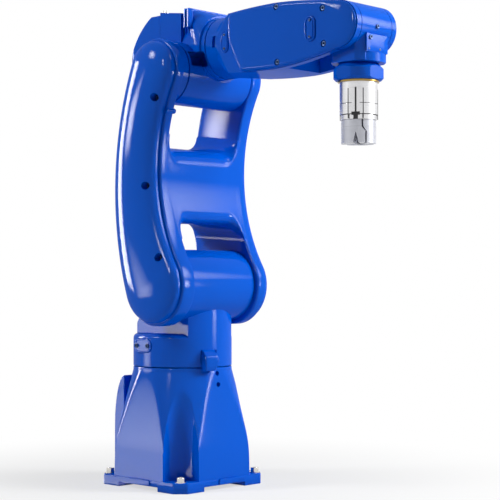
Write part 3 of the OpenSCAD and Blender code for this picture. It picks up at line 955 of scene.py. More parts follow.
@dataclass
class Base:
    """The foot with its floor bolts, the flared body and the connector box.

    The body's radius is a function of the turn and the height: the least of a cone,
    of four panels that bend softly from upright to leaning, and of the near wall of
    the round pockets over the bolts.
    """

    half_mm: float = 100.0
    chamfer_mm: float = 16.0
    foot_top_mm: float = 17.0
    foot_l_mm: float = 53.0
    relief_mm: float = 7.0
    top_mm: float = 195.5
    head_r_mm: float = 82.0
    panel_mm: float = 99.0
    panel_low_mm: float = 60.0
    panel_high_mm: float = 187.0
    cone_top_mm: float = 190.0
    flare: float = 0.267
    pocket_r_mm: float = 30.0
    bolt_mm: float = 85.0
    edge_soft_mm: float = 0.7
    bend_soft_mm: float = 1.5
    bolt: SocketScrew = SocketScrew(6.5, 7.0, 6.0, 5.0, 15.0, 0.9, washer_r_mm=9.0, washer_t_mm=1.6)
    lip: Plate = Plate(44.0, 9.0, 4.4, 2.5, 1.0)
    lip_z_mm: float = 12.5
    lip_shift_mm: float = 7.0
    lip_sunk_mm: float = 1.0
    stop_holes_mm: tuple[float, float] = (186.0, 168.0)
    stop_hole_r_mm: float = 4.0
    stop_hole_l_mm: float = 12.0
    pocket_edge_deg: tuple[float, float] = (11.4, 17.0)
    fine_deg: float = 0.25
    pocket_wall_slope: float = 800.0
    brim_mm: float = 1.5
    body_sunk_mm: float = 0.5
    body_rows: int = 112
    foot_edge_mm: float = 1.6
    pad_edge_mm: float = 0.8
    sharp_deg: float = 50.0

    def turns(self) -> Array:
        """Turns round the base, closer together at the pockets' edges."""
        fine = np.arange(*self.pocket_edge_deg, self.fine_deg)
        middle, apart = 45.0, 0.1
        quarter = np.concatenate([np.arange(0.0, 90.0), middle + apart - fine, middle - apart + fine])
        return np.radians((np.sort(quarter) + np.arange(4)[:, None] * 90.0).ravel())

    def radius(self, turn: Array, up: Array) -> Array:
        """The body's radius at a turn and a height."""
        lean = (self.panel_mm - self.head_r_mm) / (self.panel_high_mm - self.panel_low_mm)
        leaning = self.head_r_mm + lean * np.clip(self.panel_high_mm - up, 0, None)
        panel = softest([np.full_like(up, self.panel_mm), leaning], self.bend_soft_mm)
        cone = self.head_r_mm + self.flare * np.clip(self.cone_top_mm - up, 0, None)
        least = 1e-3
        across = np.maximum(np.abs(np.cos(turn)), least)
        along = np.maximum(np.abs(np.sin(turn)), least)
        off = np.abs(turn % (math.pi / 2) - math.pi / 4)
        centre = self.bolt_mm * math.sqrt(2)
        inside = np.clip(self.pocket_r_mm**2 - (centre * np.sin(off)) ** 2, 0, None)
        beyond = np.clip(off - math.asin(self.pocket_r_mm / centre), 0, None)
        pocket = centre * np.cos(off) - np.sqrt(inside) + self.pocket_wall_slope * beyond
        return softest([panel / across, panel / along, cone, pocket + 0 * up], self.edge_soft_mm)

    def body(self) -> Patch:
        """The flared body from the foot to the swivel joint, closed at both ends."""
        turn = self.turns()[None]
        share, lift = quarter_round(4)
        edge = self.brim_mm
        low = self.foot_top_mm - self.body_sunk_mm
        up = np.linspace(low, self.top_mm - edge, self.body_rows)[:, None]
        wall = self.radius(turn, up)
        brim = self.radius(turn, np.array([[self.top_mm]])) - share[1:, None] * edge
        radius = np.concatenate([wall[:1] * 0, wall, brim, brim[-1:] * 0])
        rise = np.concatenate([[low], up[:, 0], self.top_mm - edge + lift[1:] * edge, [self.top_mm]])
        return self.polar(radius, turn, rise[:, None])

    @staticmethod
    def polar(radius: Array, turn: Array, up: Array) -> Patch:
        """Points at a radius, turn and height, in metres."""
        x, y, z = np.broadcast_arrays(radius * np.cos(turn), radius * np.sin(turn), up)
        return Patch(np.stack([x, y, z], axis=-1) * MM)

    def foot(self) -> Patch:
        """The foot plate: a square with cut corners on four pads, its edges rounded."""
        turn = self.turns()
        pad_from = math.atan((self.half_mm - self.foot_l_mm) / self.half_mm)
        apart = 1e-3
        steps = np.array([pad_from - apart, pad_from + apart])
        steps = np.concatenate([steps, math.pi / 2 - steps])
        turn = np.sort(np.concatenate([turn, (steps + np.arange(4)[:, None] * math.pi / 2).ravel()]))
        across, along = np.abs(np.cos(turn)), np.abs(np.sin(turn))
        cut = (2 * self.half_mm - self.chamfer_mm) / (across + along)
        rim = np.minimum(self.half_mm / np.maximum(across, along), cut)
        lesser = np.minimum(across, along)
        pad = lesser / np.maximum(across, along) > math.tan(pad_from)
        inner = np.where(pad, (self.half_mm - self.foot_l_mm) / lesser.clip(0.1), rim * 0.8)
        low = np.where(pad, 0.0, self.relief_mm)
        share, lift = quarter_round(4)
        edge, pad_edge = self.foot_edge_mm, self.pad_edge_mm
        share, lift = share[:, None] * edge, lift[:, None] * edge
        high = np.full_like(rim, self.relief_mm)
        top = self.foot_top_mm
        wall = top - edge + lift + 0 * rim
        radius = np.concatenate([[rim * 0, inner, inner, rim - pad_edge, rim], rim - share, [rim * 0]])
        up = np.concatenate([[high, high, low, low, low + pad_edge], wall, [rim * 0 + top]])
        return self.polar(radius, turn, up)

    def build(self, shop: Workshop) -> None:
        """Makes the casting and adds its box, bolts and lips."""
        mouths = [
            bore(self.stop_hole_r_mm, self.stop_hole_l_mm, (self.head_r_mm, 0.0, up), FORWARD)
            for up in self.stop_holes_mm
        ]
        shop.stand_in("base_casting", [self.body()], self.sharp_deg, mouths)
        shop.stand_in("base_casting", [self.foot()], self.sharp_deg, name="base_foot_finished")
        shop.casting("connector_box", BLUE_ENAMEL, round_mm=3.0)
        bolts = [
            self.bolt.patch((x, y, self.foot_top_mm), UP)
            for x in (-self.bolt_mm, self.bolt_mm)
            for y in (-self.bolt_mm, self.bolt_mm)
        ]
        shop.surface("floor_bolts", bolts, "base", ZINC_STEEL)
        sunk = self.panel_mm - self.lip_sunk_mm
        right = self.lip.patch((self.lip_shift_mm, -sunk, self.lip_z_mm), RIGHT)
        front = self.lip.patch((sunk, self.lip_shift_mm, self.lip_z_mm), FORWARD)
        shop.surface("panel_lips", [right, front], "base", BLUE_ENAMEL)


@dataclass
class SwivelHead:
    """The turning head with its stop block and oval port."""

    port: Plate = Plate(41.0, 24.0, 5.5, 12.0, 1.4, rim_mm=2.4)
    port_at_mm: Point = (-8.0, -78.0, 231.0)
    port_face_mm: float = 83.3
    port_pitch_mm: float = 25.8
    port_screw: SocketScrew = SocketScrew(3.6, 2.4, 3.2, 2.4, 1.5, 0.5)
    stop_azimuth_deg: float = -12.0
    stop_root_mm: float = 76.0
    stop_power: float = 9.0
    stop_sections_mm: tuple[tuple[float, float, float, float], ...] = (
        (191.5, -12.0, 6.0, 92.0),
        (192.5, -13.0, 7.0, 93.0),
        (200.0, -13.6, 10.5, 94.6),
        (208.0, -14.0, 12.5, 95.2),
        (214.0, -14.2, 11.0, 94.4),
        (216.0, -14.2, 10.5, 93.4),
        (223.6, -13.6, 9.4, 84.0),
        (225.0, -12.8, 8.6, 82.4),
    )

    def stop_block(self) -> Patch:
        """The stop block: squared superellipse sections, one over another.

        A section's points are sign(cos a) |cos a|^(2/p) across and the same of the sine
        outwards, stretched to the section's three limits.

        Returns:
            The closed surface in place.
        """
        steps = 72
        turn = (np.arange(steps) + 0.5) * (2 * math.pi / steps)
        power = 2 / self.stop_power
        across = np.sign(np.cos(turn)) * np.abs(np.cos(turn)) ** power
        out = np.sign(np.sin(turn)) * np.abs(np.sin(turn)) ** power
        up, left, right, reach = np.array(self.stop_sections_mm).T[..., None]
        side = (right + left) / 2 + (right - left) / 2 * across
        depth = (self.stop_root_mm + reach) / 2 + (reach - self.stop_root_mm) / 2 * out
        rows = np.stack(np.broadcast_arrays(side, depth, up), axis=-1)
        middle = np.broadcast_to(rows.mean(axis=1, keepdims=True), rows.shape)
        rows = np.concatenate([middle[:1], rows, middle[-1:]])
        around = math.radians(self.stop_azimuth_deg)
        outward = np.array([math.cos(around), math.sin(around), 0.0])
        sideways = np.array([-math.sin(around), math.cos(around), 0.0])
        basis = np.stack([sideways, outward, np.array(UP)])
        return Patch(rows @ basis * MM)

    def build(self, shop: Workshop) -> None:
        """Dresses the head and its stop block, and makes the port with its screws."""
        shop.casting("swivel_head", BLUE_ENAMEL, round_mm=4.0, angle_deg=24.0, steps=4)
        shop.stand_in("stop_block", [self.stop_block()])
        shop.stand_in("port_plate", [self.port.patch(self.port_at_mm, RIGHT)])
        x, _, z = self.port_at_mm
        screws = [
            self.port_screw.patch((x + shift, -self.port_face_mm, z), RIGHT)
            for shift in (-self.port_pitch_mm / 2, self.port_pitch_mm / 2)
        ]
        shop.surface("port_screws", screws, "swivel", BLUED_STEEL)


@dataclass
class LowerArm:
    """The bowed arm: an H-shaped casting between two bulged covers.

    Its side outline is the envelope of circles whose centres run along an ellipse.
    The ellipse's foci are the centres of the hollow front edge and the bowed rear
    edge, because every such circle touches both edges.
    """

    shoulder_mm: tuple[float, float] = (40.0, 330.0)
    length_mm: float = 345.0
    foot_r_mm: float = 66.0
    head_r_mm: float = 52.0
    front_r_mm: float = 289.0
    rear_r_mm: float = 545.0
    step_mm: float = 5.0
    right_face_mm: float = -100.0
    left_face_mm: float = 92.0
    wall_mm: float = 4.0
    pockets_mm: tuple[tuple[float, float], ...] = ((58.0, 629.0), (37.0, 489.0), (68.0, 374.0))
    pocket_r_mm: float = 6.5
    pocket_floor_mm: float = 6.0
    screw: SocketScrew = SocketScrew(4.8, 5.0, 4.0, 3.0, 3.0, 0.6)
    pins_mm: tuple[tuple[float, float], ...] = ((70.0, 396.0), (66.0, 609.0))
    gap_mm: float = 72.0
    relief_mm: float = 12.0
    relief_from_mm: float = 100.0
    relief_over_mm: float = 110.0
    right_cover: tuple[float, float, float] = (25.0, 2.1, 2.1)
    left_cover: tuple[float, float, float] = (13.0, 4.0, 3.0)
    pin_r_mm: float = 4.5
    pin_reach_mm: float = 3.0
    pin_root_mm: float = 14.0
    boss_gap_mm: float = 1.5
    boss_t_mm: float = 18.0
    boss_edge_mm: float = 1.0
    outer_round_mm: float = 3.5
    inner_round_mm: float = 4.0
    web_mm: tuple[float, float] = (98.0, 219.0)
    web_slope_deg: tuple[float, float] = (-4.0, 8.0)
    fillet_mm: float = 25.0
    front_roll_mm: float = 26.0
    rear_roll_mm: float = 6.0
    roll_weight: float = 0.72
    web_end_mm: float = 5.0
    spine_steps: int = 150
    sweep_steps: int = 80
    cover_steps: int = 44
    web_steps: int = 12

    def edge_centre(self, to_foot: float, to_head: float) -> Array:
        """Centre at given distances from the two ends, on the arm's front side."""
        length = self.length_mm
        up = (length**2 + to_foot**2 - to_head**2) / (2 * length)
        return np.array([math.sqrt(to_foot**2 - up**2), up])

    def edge_centres(self) -> tuple[Array, Array]:
        """Centres of the hollow front edge and of the bowed rear edge, from the shoulder."""
        front, rear = self.front_r_mm, self.rear_r_mm
        return (
            self.edge_centre(front + self.foot_r_mm, front + self.head_r_mm),
            self.edge_centre(rear - self.foot_r_mm, rear - self.head_r_mm),
        )

    def loop(self) -> tuple[Array, Array, Array]:
        """Circles round the outline: front edge up, head, rear edge down, foot.

        Returns:
            Centres, outward directions and radii of the touching circles.
        """
        front, rear = self.edge_centres()
        middle = (front + rear) / 2
        major = (self.front_r_mm + self.rear_r_mm) / 2
        along = (front - rear) / np.linalg.norm(front - rear)
        beside = np.array([-along[1], along[0]])
        minor = math.sqrt(major**2 - (np.linalg.norm(front - rear) / 2) ** 2)
        ends = np.array([[0.0, 0.0], [0.0, self.length_mm]]) - middle
        turns = np.unwrap(np.arctan2(ends @ beside / minor, ends @ along / major))
        turn = np.linspace(turns[0], turns[1], self.spine_steps)[:, None]
        spine = middle + major * np.cos(turn) * along + minor * np.sin(turn) * beside
        to_front = front - spine
        to_front /= np.linalg.norm(to_front, axis=1, keepdims=True)
        to_rear = spine - rear
        to_rear /= np.linalg.norm(to_rear, axis=1, keepdims=True)
        over_head = self.sweep(to_front[-1], to_rear[-1])
        under_foot = self.sweep(to_rear[0], to_front[0])
        count = len(over_head)
        centres = np.concatenate([
            spine, np.repeat(spine[-1:], count, 0), spine[::-1], np.repeat(spine[:1], count, 0)
        ])
        outward = np.concatenate([to_front, over_head, to_rear[::-1], under_foot])
        radii = np.linalg.norm(front - centres, axis=1) - self.front_r_mm
        return centres, outward, radii

    def sweep(self, start: Array, end: Array) -> Array:
        """Directions turning leftwards from one to another, without the ends."""
        first = math.atan2(start[1], start[0])
        span = (math.atan2(end[1], end[0]) - first) % (2 * math.pi)
        turn = first + span * np.linspace(0.0, 1.0, self.sweep_steps)[1:-1]
        return np.stack([np.cos(turn), np.sin(turn)], axis=-1)

    def cover(
        self, face_mm: float, side: float, bulge_mm: float, rear_power: float, front_power: float
    ) -> Patch:
        """A bulged cover on a cheek's outer face.

        Across the arm the section is a half of a superellipse: with a from 0 at the
        edge to a right angle at the spine, the distance from the spine is cos a to the
        power 2/p and the rise is sin a to the power 2/p. The power p goes evenly from
        the rear edge's to the front edge's, and a greater one makes a tighter edge.

        Args:
            face_mm: Place of the cheek's outer face.
            side: 1 where the cover bulges towards +Y, otherwise -1.
            bulge_mm: Height of the cover over the cheek.
            rear_power: The section's power at the rear edge.
            front_power: The section's power at the front edge.

        Returns:
            The closed surface in place.
        """
        centres, outward, radii = self.loop()
        half = radii - self.step_mm
        lean = eased(0.5 + 0.5 * outward[:, 0])
        power = rear_power + (front_power - rear_power) * lean
        turn = np.linspace(0.0, math.pi / 2, self.cover_steps)[:, None]
        distance = np.cos(turn) ** (2 / power)
        distance[-1] = 0.0
        rise = self.wall_mm + (bulge_mm - self.wall_mm) * np.sin(turn) ** (2 / power)
        back = np.zeros((1, len(half)))
        distance = np.concatenate([back, back + 1.0, distance])
        rise = np.concatenate([back, back, rise])
        flat = centres + outward * (distance * half)[..., None]
        return self.stood(flat, face_mm + side * rise)

    def relief(self, up: Array) -> Array:
        """How far the right cheek's inner face steps back, by height over the shoulder."""
        return self.relief_mm * eased(np.clip((up - self.relief_from_mm) / self.relief_over_mm, 0, 1))

    def cheek(self, outer_mm: float, side: float) -> Patch:
        """A cheek: the outline carried across, its edges rounded by quarter circles.

        The inner edge's round dies out where the web joins it.

        Args:
            outer_mm: Place of the outer face.
            side: 1 where the inner face lies towards +Y, otherwise -1.

        Returns:
            The closed surface in place.
        """
        centres, outward, radii = self.loop()
        rim = centres + outward * radii[:, None]
        over = np.clip((rim[:, 1] - self.web_mm[1]) / self.fillet_mm, 0, 1)
        under = np.clip((self.web_mm[0] - rim[:, 1]) / self.fillet_mm, 0, 1)
        inner_round = 0.1 + (self.inner_round_mm - 0.1) * np.maximum(over, under)
        share, lift = quarter_round(6)
        share, lift = share[:, None], lift[:, None]
        outer_round = np.full(len(radii), self.outer_round_mm)
        inset = np.concatenate([radii[None], share[::-1] * outer_round, share * inner_round, radii[None]])
        flat = centres + outward * (radii - inset)[..., None]
        inner = -side * self.gap_mm - side * self.relief(flat[..., 1]) * (side > 0)
        depth = np.concatenate([radii[None] * 0, (1 - lift[::-1]) * outer_round])
        height = np.concatenate([(1 - lift) * inner_round, radii[None] * 0])
        across = np.concatenate([outer_mm + side * depth, inner[len(depth):] - side * height])
        return self.stood(flat, across)

    def stood(self, flat: Array, across: Array) -> Patch:
        """Stands points drawn from the shoulder, with their places across, in metres."""
        x, z = self.shoulder_mm
        return Patch(np.stack([flat[..., 0] + x, across, flat[..., 1] + z], axis=-1) * MM)

    def rolled(self, start: Array, corner: Array, end: Array, steps: int) -> Array:
        """A corner rounded by a conic: the weighted mean of its start, corner and end."""
        t = np.linspace(0.0, 1.0, steps)[None, :, None]
        first, middle, last = (1 - t) ** 2, 2 * self.roll_weight * t * (1 - t), t**2
        mixed = first * start[:, None] + middle * corner[:, None] + last * end[:, None]
        return mixed / (first + middle + last)

    def web_end(self, sign: float, spread: Array, roll: Array) -> tuple[Array, Array]:
        """One end of the web's section: its front roll, slope and rear corner.

        Args:
            sign: 1 for the upper end and -1 for the lower.
            spread: How far each section's end is moved out.
            roll: Size of each section's front roll.

        Returns:
            Points as sections by points by two, from front to rear, and the front
            arc's last height.
        """
        upper = sign > 0
        slope = math.tan(math.radians(self.web_slope_deg[1 if upper else 0]))
        tip = self.web_mm[1 if upper else 0] + sign * spread
        corner = np.stack([self.front_x(tip), tip], axis=-1)
        start = np.stack([self.front_x(tip - sign * roll), tip - sign * roll], axis=-1)
        rearward = np.array([-1.0, sign * slope]) / math.hypot(1.0, slope)
        end = corner + roll[:, None] * rearward
        rear_up = tip.copy()
        for _ in range(4):
            rear_up = tip + sign * slope * (corner[:, 0] - self.rear_x(rear_up))
        back = np.stack([self.rear_x(rear_up), rear_up], axis=-1)
        before = back - self.rear_roll_mm * rearward
        low = rear_up - sign * self.rear_roll_mm
        after = np.stack([self.rear_x(low), low], axis=-1)
        points = [self.rolled(start, corner, end, 12), self.rolled(before, back, after, 6)]
        return np.concatenate(points, axis=1), low

    def front_x(self, up: Array) -> Array:
        """Place of the hollow front edge at a height."""
        x, z = self.edge_centres()[0]
        return x - np.sqrt(self.front_r_mm**2 - (up - z) ** 2)

    def rear_x(self, up: Array) -> Array:
        """Place of the bowed rear edge at a height."""
        x, z = self.edge_centres()[1]
        return x - np.sqrt(self.rear_r_mm**2 - (up - z) ** 2)

    def web(self) -> Patch:
        """The web: a section of two arcs and two slopes, carried from cheek to cheek.

        Near a cheek the section grows by a quarter circle, which makes the fillets,
        while its front rolls shrink to the cheek's own edge.

        Returns:
            The closed surface in place.
        """
        turn = np.linspace(0.0, math.pi / 2, self.web_steps)
        turns = np.concatenate([turn[::-1], turn])
        spread = self.fillet_mm * (1 - np.cos(turns))
        roll = self.inner_round_mm + (self.front_roll_mm - self.inner_round_mm) * np.cos(turns)
        top, rear_high = self.web_end(1.0, spread, roll)
        foot, rear_low = self.web_end(-1.0, spread, roll)
        share = np.linspace(0.0, 1.0, 14)[1:-1]
        down = rear_high[:, None] + (rear_low - rear_high)[:, None] * share
        rear = np.stack([self.rear_x(down), down], axis=-1)
        low, high = foot[:, 0, 1], top[:, 0, 1]
        up = low[:, None] + (high - low)[:, None] * share
        front = np.stack([self.front_x(up), up], axis=-1)
        flat = np.concatenate([front, top, rear, foot[:, ::-1]], axis=1)
        right = np.arange(len(turns)) < len(turn)
        wall = self.gap_mm + np.where(right[:, None], self.relief(flat[..., 1]), 0.0)
        across = wall - self.fillet_mm * (1 - np.sin(turns))[:, None]
        across = np.where(right[:, None], -across, across)
        middle = np.broadcast_to(flat.mean(axis=1, keepdims=True), flat.shape)
        flat = np.concatenate([middle[:1], flat[:1], flat, flat[-1:], middle[-1:]])
        first, last = across[:1] - self.web_end_mm, across[-1:] + self.web_end_mm
        across = np.concatenate([first, first, across, last, last])
        return self.stood(flat, across)

    def casting(self) -> list[Patch]:
        """The cheeks and the web, with the elbow's boss and the two stop pins."""
        x, z = self.shoulder_mm
        radius, thick, edge = self.head_r_mm - self.boss_gap_mm, self.boss_t_mm, self.boss_edge_mm
        rows = [(0.0, 0.0), (radius, 0.0), (radius, thick - edge), (radius - edge, thick), (0.0, thick)]
        disc = turned(np.array(rows), steps=96)
        boss = Patch(set_on(disc, (x, -self.gap_mm - thick, z + self.length_mm), LEFT))
        turn = quarter_round(6)[0] * math.pi / 2
        reach, pin_r = self.pin_reach_mm, self.pin_r_mm
        end = np.stack([pin_r * np.cos(turn), reach + pin_r * np.sin(turn)], axis=-1)
        rows = np.concatenate([[(0.0, -self.pin_root_mm), (pin_r, -self.pin_root_mm)], end])
        pin = turned(rows, steps=36)
        pins = []
        for pin_x, pin_z in self.pins_mm:
            wall = self.gap_mm + float(self.relief(pin_z - z))
            pins.append(Patch(set_on(pin, (pin_x, -wall - reach, pin_z), LEFT)))
        right = self.cheek(self.right_face_mm, 1.0)
        left = self.cheek(self.left_face_mm, -1.0)
        return [right, left, self.web(), boss, *pins]

    def build(self, shop: Workshop) -> None:
        """Makes the casting, the covers and their screws."""
        shop.stand_in("lower_arm_frame", self.casting())
        floor = self.right_face_mm - self.pocket_floor_mm
        seats = [((x, floor, z), RIGHT) for x, z in self.pockets_mm]
        pockets = [bore(self.pocket_r_mm, 0.0, *seat) for seat in seats]
        right = self.cover(self.right_face_mm, -1.0, *self.right_cover)
        shop.stand_in("lower_arm_cover_right", [right], bores=pockets)
        screws = [self.screw.patch(*seat) for seat in seats]
        shop.surface("arm_cover_screws", screws, "lower_arm", BLUED_STEEL)
        left = self.cover(self.left_face_mm, 1.0, *self.left_cover)
        shop.stand_in("lower_arm_cover_left", [left])


@dataclass
class Elbow:
    """The elbow housing with its ribs and its dark recess, and the motor cover."""

    seam_x_mm: float = 0.0
    front_x_mm: float = 50.5
    top_mm: float = 780.0
    top_fall: float = 0.136
    cover_top_mm: float = 775.5
    rib: Plate = Plate(4.4, 31.0, 9.0, 1.6, 0.5)
    ribs_x_mm: tuple[float, ...] = (61.5, 69.5)
    rib_y_mm: float = 45.5
    rib_z_mm: float = 763.5
    rib_lean: float = -0.18
    recess: Plate = Plate(36.0, 24.0, 47.0, 6.0, 2.0)
    recess_at_mm: Point = (84.0, -20.0, 694.0)
    screw: SocketScrew = SocketScrew(2.8, 4.0, 2.6, 2.0, 3.0, 0.6)
    screws_mm: tuple[Point, ...] = ((4.0, -48.0, 779.3), (11.5, -48.0, 778.3))

    def fallen(self, points: Array) -> Array:
        """Lowers the housing's top, which falls evenly from the seam to the ribs."""
        x, z = points[:, 0], points[:, 2]
        roof = (self.top_mm - self.top_fall * np.clip(x / MM - self.seam_x_mm, 0.0, None)) * MM
        lowered = np.where(x < self.front_x_mm * MM, np.minimum(z, roof), z)
        return np.stack([x, points[:, 1], lowered], axis=-1)

    def capped(self, points: Array) -> Array:
        """Lowers the motor cover's top, which stands below the housing's."""
        return np.minimum(points, [np.inf, np.inf, self.cover_top_mm * MM])

    def build(self, shop: Workshop) -> None:
        """Dresses the elbow's castings, sets its ribs and its cover's screws."""
        shop.casting(
            "elbow_housing",
            BLUE_ENAMEL,
            round_mm=2.0,
            angle_deg=24.0,
            bores=[self.recess.patch(self.recess_at_mm, RIGHT)],
            reshape=self.fallen,
        )
        shop.casting(
            "motor_cover", BLUE_ENAMEL, round_mm=5.0, angle_deg=24.0, steps=4, reshape=self.capped
        )
        ribs = [
            self.rib.patch((x, side * self.rib_y_mm, self.rib_z_mm), (self.rib_lean, side, 0.0))
            for x in self.ribs_x_mm
            for side in (-1.0, 1.0)
        ]
        shop.surface("elbow_ribs", ribs, "elbow", BLUE_ENAMEL)
        screws = [self.screw.patch(place, UP) for place in self.screws_mm]
        shop.surface("motor_cover_screws", screws, "elbow", ZINC_STEEL)


@dataclass
class Forearm:
    """The forearm's casting, its two side covers and its oval ports."""

    body_x_mm: float = 158.5
    body_l_mm: float = 221.5
    roll_z_mm: float = 715.0
    half_w_mm: float = 50.0
    lean: float = math.atan(4.0 / 258.5)
    margin_mm: float = 1.0
    fork_r_mm: float = 36.0
    upper_edge_mm: tuple[float, float] = (44.0, 48.0)
    lower_edge_mm: tuple[float, float] = (50.0, 54.0)
    belly_at: float = 0.42
    fall_power: float = 1.6
    edge_end: float = 0.97
    edge_steps: int = 60
    cap_turn: float = 1.62
    slant_mm: float = 24.0
    slant_depth_mm: float = 50.0
    cover_t_mm: float = 7.0
    cover_round_mm: float = 5.6
    round_w_mm: tuple[float, float] = (6.0, 28.0)
    widen_x_mm: tuple[float, float] = (-30.0, 30.0)
    spine_x_mm: tuple[float, float] = (-190.0, -4.0)
    spine_z_mm: float = -1.5
    wrist_port: Plate = Plate(20.0, 38.0, 2.6, 10.0, 1.3, rim_mm=2.4, groove_mm=1.4, groove_depth_mm=1.3)
    wrist_port_at_mm: tuple[float, float] = (-48.0, -2.0)
    wrist_port_pitch_mm: float = 25.0
    wrist_port_sunk_mm: float = 0.2
    wrist_screw_sunk_mm: float = 0.4
    neck_port: Plate = Plate(15.0, 35.0, 7.0, 7.5, 1.0, rim_mm=1.6)
    neck_port_at_mm: Point = (149.0, -45.0, 715.0)
    neck_port_pitch_mm: float = 22.0
    neck_screw_sunk_mm: float = 0.2
    pockets_mm: tuple[tuple[float, float], ...] = (
        (-117.0, 40.0),
        (-25.0, 26.0),
        (-23.0, -27.0),
        (-115.0, -45.0),
    )
    pocket_r_mm: float = 5.2
    pocket_depth_mm: float = 4.0
    screw: SocketScrew = SocketScrew(3.9, 3.2, 3.4, 2.5, 2.0, 0.5)
    port_screw: SocketScrew = SocketScrew(2.1, 1.2, 1.8, 1.4, 1.0, 0.3)

    def edge(self, t: Array, neck: float, belly: float) -> Array:
        """Height of an edge along the body: a parabola up to the belly, then a falling power."""
        before = np.clip(1 - t / self.belly_at, 0, None)
        after = np.clip((t - self.belly_at) / (1 - self.belly_at), 0, None)
        rising = belly - (belly - neck) * before**2
        falling = belly - (belly - self.fork_r_mm) * after**self.fall_power
        return np.where(t < self.belly_at, rising, falling)

    def outline(self, steps: int = 360) -> Array:
        """A cover's outline from the wrist axis, evenly spaced, its corners softened.

        Args:
            steps: Points round the outline.

        Returns:
            Points as steps by two, turning leftwards.
        """
        t = np.linspace(0.0, self.edge_end, self.edge_steps)
        x = (t - 1) * self.body_l_mm
        margin = self.margin_mm
        under = np.stack([x, margin - self.edge(t, *self.lower_edge_mm)], axis=-1)
        above = np.stack([x, self.edge(t, *self.upper_edge_mm) - margin], axis=-1)
        turn = np.linspace(-self.cap_turn, self.cap_turn, self.edge_steps)
        cap = (self.fork_r_mm - margin) * np.stack([np.cos(turn), np.sin(turn)], axis=-1)
        rear = margin - self.body_l_mm
        cut = rear + self.slant_mm * np.clip(-under[:, 1] / self.slant_depth_mm, 0, 1)
        under = under[under[:, 0] >= cut]
        corner = np.array([[rear, above[0, 1]], [rear, 0.0]])
        above = above[above[:, 0] > rear]
        path = np.concatenate([under, cap, above[::-1], corner, under[:1]])
        length = np.concatenate([[0.0], np.cumsum(np.linalg.norm(np.diff(path, axis=0), axis=1))])
        even = np.linspace(0.0, length[-1], steps, endpoint=False)
        loop = np.stack([np.interp(even, length, path[:, i]) for i in (0, 1)], axis=-1)
        for _ in range(2):
            loop = np.mean([np.roll(loop, shift, axis=0) for shift in range(-4, 5)], axis=0)
        return loop

    def side_cover(self, side: float) -> Patch:
        """A side cover: a wall, a rounded edge that widens towards the wrist, and a flat face.

        Args:
            side: 1 for the right cover and -1 for the left.

        Returns:
            The closed surface in place.
        """
        loop = self.outline()
        along = np.roll(loop, -1, axis=0) - np.roll(loop, 1, axis=0)
        along /= np.linalg.norm(along, axis=1, keepdims=True)
        outward = np.stack([along[:, 1], -along[:, 0]], axis=-1)
        start, end = self.widen_x_mm
        narrow, wide = self.round_w_mm
        width = narrow + (wide - narrow) * eased(np.clip((loop[:, 0] - start) / (end - start), 0, 1))
        share, lift = quarter_round(10)
        rounding = self.cover_round_mm
        inset = share[:, None] * width
        rise = np.broadcast_to(self.cover_t_mm - rounding + lift[:, None] * rounding, inset.shape)
        spine_x = np.clip(loop[:, 0], *self.spine_x_mm)
        spine = np.stack([spine_x, np.full(len(loop), self.spine_z_mm)], axis=-1)
        band = loop - inset[..., None] * outward
        flat = np.concatenate([spine[None], loop[None], band, spine[None]])
        ends = np.zeros((1, len(loop)))
        height = np.concatenate([ends, ends, rise, ends + self.cover_t_mm])
        points = np.concatenate([flat, height[..., None]], axis=-1)
        points[..., 0] *= side
        origin, axis = self.on_side(0.0, 0.0, 0.0, side)
        return Patch(set_on(points, origin, axis))

    def on_side(self, x_mm: float, z_mm: float, rise_mm: float, side: float) -> tuple[Point, Point]:
        """A place on the casting's leaning side, from the wrist axis, and the way it faces."""
        reach = self.body_l_mm + x_mm
        out = (math.sin(self.lean), -side * math.cos(self.lean), 0.0)
        place = (
            self.body_x_mm + reach * math.cos(self.lean) + rise_mm * out[0],
            side * (reach * math.sin(self.lean) - self.half_w_mm) + rise_mm * out[1],
            self.roll_z_mm + z_mm,
        )
        return place, out

    def dress_side(self, shop: Workshop, name: str, side: float) -> None:
        """Makes one side's cover, its pocketed screws and its oval port."""
        floor = self.cover_t_mm - self.pocket_depth_mm
        seats = [self.on_side(x, z, floor, side) for x, z in self.pockets_mm]
        pockets = [bore(self.pocket_r_mm, 0.0, *seat) for seat in seats]
        shop.stand_in(f"forearm_cover_{name}", [self.side_cover(side)], bores=pockets)
        screws = [self.screw.patch(*seat) for seat in seats]
        shop.surface(f"forearm_screws_{name}", screws, "forearm", BLUED_STEEL)
        x, z = self.wrist_port_at_mm
        seat = self.on_side(x, z, self.cover_t_mm - self.wrist_port_sunk_mm, side)
        shop.stand_in(f"wrist_port_{name}", [self.wrist_port.patch(*seat)])
        face = self.cover_t_mm + self.wrist_port.rise_mm - self.wrist_screw_sunk_mm
        screws = [
            self.port_screw.patch(*self.on_side(x, z + shift, face, side))
            for shift in (-self.wrist_port_pitch_mm / 2, self.wrist_port_pitch_mm / 2)
        ]
        shop.surface(f"wrist_port_screws_{name}", screws, "forearm", BLUED_STEEL)

    def build(self, shop: Workshop) -> None:
        """Dresses the casting and both sides, and makes the neck's port."""
        shop.casting("forearm_casting", BLUE_ENAMEL, round_mm=2.5, angle_deg=24.0)
        self.dress_side(shop, "right", 1.0)
        self.dress_side(shop, "left", -1.0)
        shop.stand_in("neck_port", [self.neck_port.patch(self.neck_port_at_mm, RIGHT)])
        x, y, z = self.neck_port_at_mm
        face = y - self.neck_port.rise_mm + self.neck_screw_sunk_mm
        screws = [
            self.port_screw.patch((x, face, z + shift), RIGHT)
            for shift in (-self.neck_port_pitch_mm / 2, self.neck_port_pitch_mm / 2)
        ]
        shop.surface("neck_port_screws", screws, "forearm", BLUED_STEEL)


